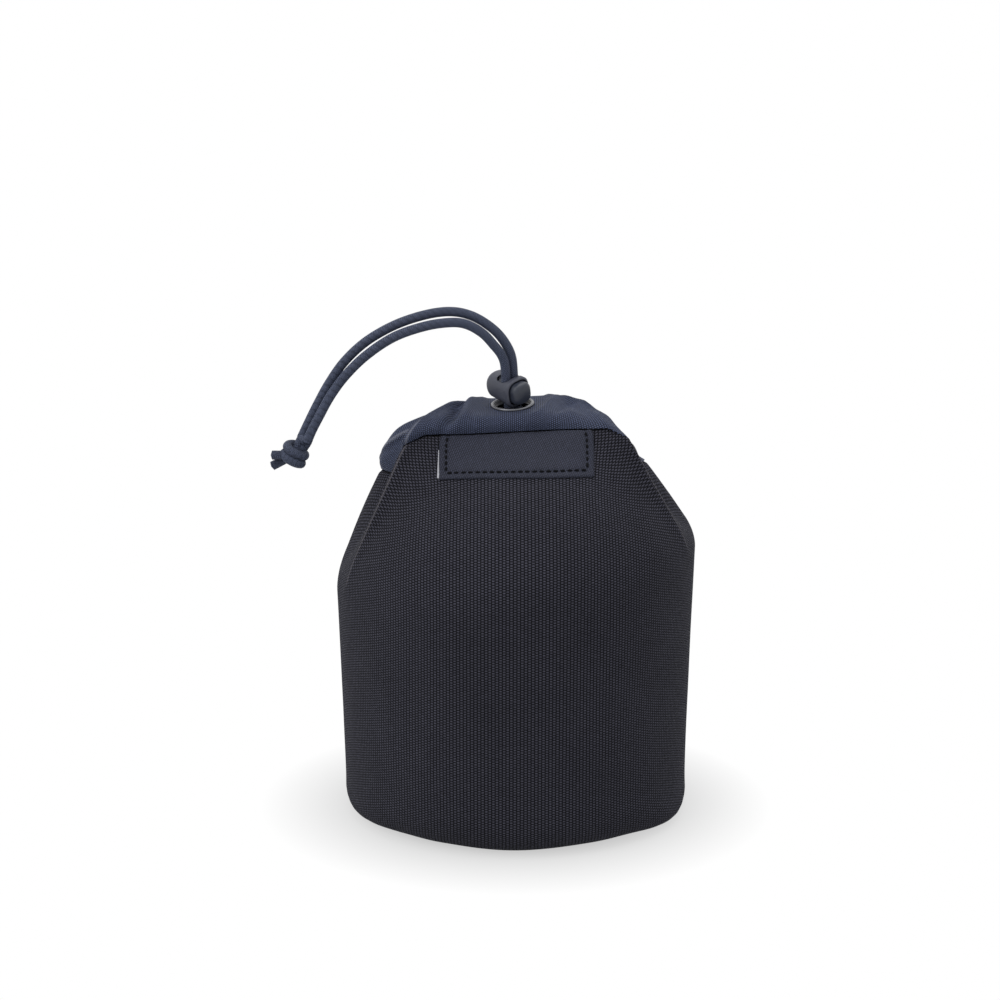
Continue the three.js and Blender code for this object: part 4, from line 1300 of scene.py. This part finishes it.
def make_wall(finishes):
    """Outer cloth, padding and lining of the wall."""
    outer = wall_ply("wall_cloth", 0, SHELL, WALL_COLUMNS, WALL_ROWS)
    dress(outer, finishes["nylon_basket"], "pouch", "body_weave", "body_panel")
    padding = wall_ply("wall_padding", SHELL + GAP, FOAM, INNER_COLUMNS, INNER_ROWS)
    dress(padding, finishes["foam_closed_cell"], "pouch", "padding", "wall_foam")
    lining = wall_ply("wall_lining_cloth", SHELL + FOAM + 2 * GAP, LINING, INNER_COLUMNS, INNER_ROWS)
    dress(lining, finishes["lining_plain"], "pouch", "lining", "wall_lining")


def make_base(finishes):
    """Outer cloth, padding and lining of the base."""
    base = disc("base_cloth", SHELL, SHELL)
    dress(base, finishes["nylon_basket"], "pouch", "body_weave", "base_panel")
    pad = disc("base_padding", SHELL + GAP + FOAM, FOAM)
    dress(pad, finishes["foam_closed_cell"], "pouch", "padding", "base_foam")
    floor = disc("base_lining_cloth", STACK, LINING)
    dress(floor, finishes["lining_plain"], "pouch", "lining", "base_lining")


def make_tapes(finish):
    """The tapes that bind the seams on the inside."""
    inset = STACK + GAP + BINDING
    half = BINDING_WIDTH / 2 / SHOULDER_RADIUS

    def on_base(u, v):
        seam = BASE_RADIUS - base_edge(angle_at(u))
        return polar(angle_at(u), seam - BINDING_WIDTH / 2 * v, inset)

    def on_back(u, v):
        return wall_point(math.pi + half * (1 - 2 * u), lerp(BACK_TAPE_FOOT, BACK_TAPE_HEAD, v), inset)

    def on_mouth(u, v):
        return upper_point(-angle_at(u), lerp(MOUTH_TAPE_FOOT, 1, v), inset)

    for name, columns, rows, place, node in (
        ("base_tape", BASE_COLUMNS, 6, on_base, "base_binding"),
        ("back_tape", 10, 48, on_back, "back_seam_binding"),
        ("mouth_tape", INNER_COLUMNS, 8, on_mouth, "mouth_seam_binding"),
    ):
        tape = thicken(sheet(name, columns, rows, place), BINDING)
        dress(tape, finish, "pouch", "binding", node)


def make_channel(finish):
    """Gathered channel of fine cloth, folded lengthwise with both edges in the top seam."""
    channel = sheet(
        "channel_cloth",
        CHANNEL_COLUMNS,
        CHANNEL_ROWS,
        lambda u, v: on_channel(angle_at(u), smooth_line(roll_outline(angle_at(u)), v)),
        lambda u, v: channel_gathers(angle_at(u), v),
        (EYELET_CENTRE, EYELET_AXIS, EYELET_BORE + EYELET_WALL + GAP),
        gathered=True,
        highlight=lambda u, v: channel_highlight(angle_at(u), v),
    )
    dress(thicken(channel, CHANNEL_CLOTH), finish, "pouch", "channel_weave", "cord_channel")


def make_label(finishes):
    """Folded woven label, sewn on all round, with its reverse showing at one folded end."""
    label = sheet(
        "label_cloth",
        LABEL_COLUMNS,
        LABEL_ROWS,
        lambda u, v: on_label(LABEL_WIDTH * (u - 0.5), LABEL_HEIGHT * v, LABEL_OFF),
        label_face,
    )
    dress(thicken(label, LABEL_CLOTH), finishes["label_satin"], "pouch", "label_weave", "front_label")
    turned = sheet("label_turned_end", columns=4, rows=20, place=turned_end)
    dress(thicken(turned, TURNED_CLOTH), finishes["label_reverse"], "pouch", "label_weave")
    shape = bmesh.new()
    for x in (-STITCH_SIDE, STITCH_SIDE):
        stitch_row(shape, (x, STITCH_RISE + STITCH_CLEAR), (x, LABEL_HEIGHT - STITCH_CLEAR))
    stitch_row(shape, (-STITCH_SIDE, STITCH_RISE), (STITCH_SIDE, STITCH_RISE))
    for face in shape.faces:
        face.smooth = True
    dress(finished(shape, "label_stitches"), finishes["thread"], "pouch", "label_weave")


def make_eyelet(finish):
    """Rolled eyelet through the upper cloth, and the washer that it is set on."""
    across = Vector((1, 0, 0)) - EYELET_AXIS * EYELET_AXIS.x
    frame = frame_at(EYELET_CENTRE, across.normalized(), EYELET_AXIS)
    washer_top = -CHANNEL_CLOTH - GAP
    curl = washer_top - EYELET_WASHER - GAP
    barrel = EYELET_BORE + EYELET_WALL
    throat = (EYELET_BORE + EYELET_THROAT, -EYELET_THROAT_DEPTH)
    bead = (EYELET_FLANGE - EYELET_BEAD, EYELET_RIM - EYELET_BEAD)
    profile = [(EYELET_BORE, curl - EYELET_WALL), (EYELET_BORE, -EYELET_THROAT_DEPTH)]
    profile += arc(EYELET_THROAT, throat, 180, 130, 6)
    profile += arc(EYELET_BEAD, bead, 185, -20, 16)
    profile += [(EYELET_FLANGE - GAP, EYELET_REST), (barrel + EYELET_EASE, EYELET_REST)]
    profile += [(barrel, -EYELET_EASE), (barrel, curl + EYELET_EASE)]
    profile += [(barrel + EYELET_CURL, curl), (barrel + EYELET_CURL, curl - EYELET_WALL)]
    profile.append(profile[0])
    dress(spun("eyelet_ring", profile, frame), finish, "pouch", "eyelet_metal", "eyelet_barrel")
    inside = barrel + GAP
    outside = EYELET_FLANGE - EYELET_WALL
    profile = [(inside, washer_top), (inside, washer_top - EYELET_WASHER)]
    edge = EYELET_WASHER / 2
    profile += arc(edge, (outside - edge, washer_top - edge), -90, 90, 6)
    profile.append(profile[0])
    dress(spun("eyelet_back", profile, frame), finish, "pouch", "eyelet_metal", "eyelet_washer")


def squared(height):
    """Share by which the lock's round section is drawn out at its corners."""
    return LOCK_SQUARE * smooth((height - LOCK_TIP) / (PLUNGER_END - LOCK_TRAVEL - LOCK_TIP))


def lock_barrel(frame):
    """Barrel of the lock: a blind bore, a banded mouth, a domed end and the slot for the strands."""
    waist = LOCK_RADIUS - LOCK_STEP
    profile = [(0, BORE_END), (LOCK_BORE - LOCK_CHAMFER, BORE_END), (LOCK_BORE, BORE_END + LOCK_CHAMFER)]
    profile += [(LOCK_BORE, LOCK_MOUTH - LOCK_LIP / 2)]
    profile += arc(LOCK_LIP, (LOCK_RADIUS - LOCK_LIP, LOCK_MOUTH - LOCK_LIP), 90, 0, 5)
    profile += [(LOCK_RADIUS, LOCK_MOUTH - LOCK_BAND), (waist, LOCK_MOUTH - LOCK_BAND - LOCK_LIP / 2)]
    profile += [(waist, -CORD_EDGE), (LOCK_TIP_RADIUS, LOCK_TIP + LOCK_DOME)]
    for i in range(1, DOME_STEPS + 1):
        turn = math.pi / 2 * i / DOME_STEPS
        profile.append((LOCK_TIP_RADIUS * math.cos(turn), LOCK_TIP + LOCK_DOME * (1 - math.sin(turn))))
    barrel = spun("lock_body", profile, frame, squared)
    low = (-CORD_REACH, -CORD_EDGE - LOCK_TRAVEL)
    return cut_slot(barrel, frame, low, (CORD_REACH, CORD_EDGE), CORD_EDGE)


def lock_button(frame):
    """Plunger with the rounded button at its end, and its own slot for the strands."""
    radius = LOCK_BORE - GAP - PLUNGER_PLAY
    end = LOCK_MOUTH + BUTTON_PROUD
    shoulder = end - BUTTON_ROUNDING - BUTTON_CROWN
    profile = [(0, PLUNGER_END), (radius - PLUNGER_CHAMFER, PLUNGER_END)]
    profile += [(radius, PLUNGER_END + PLUNGER_CHAMFER), (radius, shoulder)]
    profile += arc(BUTTON_ROUNDING, (radius - BUTTON_ROUNDING, shoulder), 0, 75, 8)
    profile.append((0, end))
    button = spun("lock_press", profile, frame, squared)
    low = (-CORD_REACH, -CORD_EDGE)
    return cut_slot(button, frame, low, (CORD_REACH, CORD_EDGE + LOCK_TRAVEL), CORD_EDGE)


def lock_coil():
    """Spring between the end of the bore and the plunger."""
    first = BORE_END + SPRING_WIRE + GAP
    last = PLUNGER_END - SPRING_WIRE - GAP
    steps = SPRING_TURNS * COIL_STEPS
    course = []
    for i in range(steps + 1):
        turn = 2 * math.pi * i / COIL_STEPS
        along = LOCK_CENTRE + LOCK_AXIS * lerp(first, last, i / steps)
        outwards = LOCK_ACROSS * math.cos(turn) + STRAND_DIRECTION * math.sin(turn)
        course.append(along + outwards * SPRING_RADIUS)
    return tube("lock_coil", course, lambda v: SPRING_WIRE, 8, len(course) - 1, tip=0.1)


def make_lock(finishes):
    """Cord lock: a domed barrel, the sprung plunger with its button, and the spring between them."""
    frame = frame_at(LOCK_CENTRE, LOCK_ACROSS, LOCK_AXIS)
    barrel = lock_barrel(frame)
    dress(barrel, finishes["acetal_moulded"], "cord_lock", "lock_plastic", "lock_barrel")
    button = lock_button(frame)
    # the button's acetal is darker with painted shade
    dress(button, finishes["acetal_shaded"], "lock_button", "lock_plastic", "lock_plunger")
    coil = lock_coil()
    dress(coil, finishes["steel_wire"], "cord_lock", "spring_steel", "lock_spring")
    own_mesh(coil)


# the stage


def looked_at(tree):
    """Socket that is 1 on rays of the camera, also mirrored or through glass, and 0 on rays that light."""
    paths = add(tree, "ShaderNodeLightPath")
    seen = paths.outputs["Is Camera Ray"]
    for kind in ("Is Glossy Ray", "Is Transmission Ray"):
        either = add(tree, "ShaderNodeMath", {0: seen, 1: paths.outputs[kind]}, operation="MAXIMUM")
        seen = either.outputs[0]
    return seen


def make_camera():
    """Camera that looks down a little on the front."""
    scene = bpy.context.scene
    lens = bpy.data.cameras.new("camera")
    lens.lens = CAMERA_LENS
    lens.sensor_width = CAMERA_SENSOR
    camera = bpy.data.objects.new("camera", lens)
    camera.location = CAMERA_PLACE
    camera.rotation_euler = (math.radians(CAMERA_TILT), 0, 0)
    scene.collection.objects.link(camera)
    scene.camera = camera


def make_light():
    """White surroundings that light less than they show, and two soft lamps."""
    scene = bpy.context.scene
    world = bpy.data.worlds.new("studio")
    scene.world = world
    world.use_nodes = True
    tree = world.node_tree
    tree.nodes.clear()
    seen = looked_at(tree)
    level = add(tree, "ShaderNodeMapRange", {"Value": seen, "To Min": SKY_LIGHT, "To Max": 1.0})
    sky = add(tree, "ShaderNodeBackground", {"Color": (1, 1, 1, 1), "Strength": level.outputs[0]})
    add(tree, "ShaderNodeOutputWorld", {"Surface": sky.outputs[0]})
    for name, place, power, size in LAMPS:
        lamp = bpy.data.lights.new(name, "AREA")
        lamp.energy = power
        lamp.size = size
        item = bpy.data.objects.new(name, lamp)
        item.location = place
        item.rotation_euler = (Vector(place) - LAMP_AIM).to_track_quat("Z", "Y").to_euler()
        scene.collection.objects.link(item)


def make_floor():
    """Pale floor that keeps the pouch's shadow near it and fades to white further out."""
    shape = bmesh.new()
    bmesh.ops.create_circle(shape, cap_ends=True, segments=96, radius=FLOOR_RADIUS)
    floor = finished(shape, "floor")
    floor.location.z = -FLOOR_DROP
    material = bpy.data.materials.new("floor_paper")
    material.use_nodes = True
    tree = material.node_tree
    tree.nodes.clear()
    seen = looked_at(tree)
    place = add(tree, "ShaderNodeTexCoord")
    far = add(tree, "ShaderNodeVectorMath", {0: place.outputs["Object"]}, operation="LENGTH")
    fade = add(
        tree,
        "ShaderNodeMapRange",
        {
            "Value": far.outputs["Value"],
            "From Min": FLOOR_FADE_START,
            "From Max": FLOOR_FADE_END,
            "To Min": FLOOR_WHITE,
        },
    )
    share = add(tree, "ShaderNodeMath", {0: fade.outputs[0], 1: seen}, operation="MULTIPLY")
    paper = add(tree, "ShaderNodeBsdfDiffuse", {"Color": linear("#C4C4C4")})
    white = add(tree, "ShaderNodeEmission", {"Color": (1, 1, 1, 1), "Strength": 1.0})
    blend = add(
        tree,
        "ShaderNodeMixShader",
        {0: share.outputs[0], 1: paper.outputs[0], 2: white.outputs[0]},
    )
    add(tree, "ShaderNodeOutputMaterial", {"Surface": blend.outputs[0]})
    floor.data.materials.append(material)


def main():
    for item in list(bpy.data.objects):
        bpy.data.objects.remove(item)
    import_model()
    bpy.context.scene.view_settings.view_transform = "Standard"
    make_camera()
    make_light()
    make_floor()
    finishes = make_finishes()
    make_cords(finishes["cord_braid"])
    make_wall(finishes)
    make_base(finishes)
    make_tapes(finishes["tape_ribbed"])
    make_channel(finishes["nylon_plain"])
    make_label(finishes)
    make_eyelet(finishes["steel_gunmetal"])
    make_lock(finishes)


main()
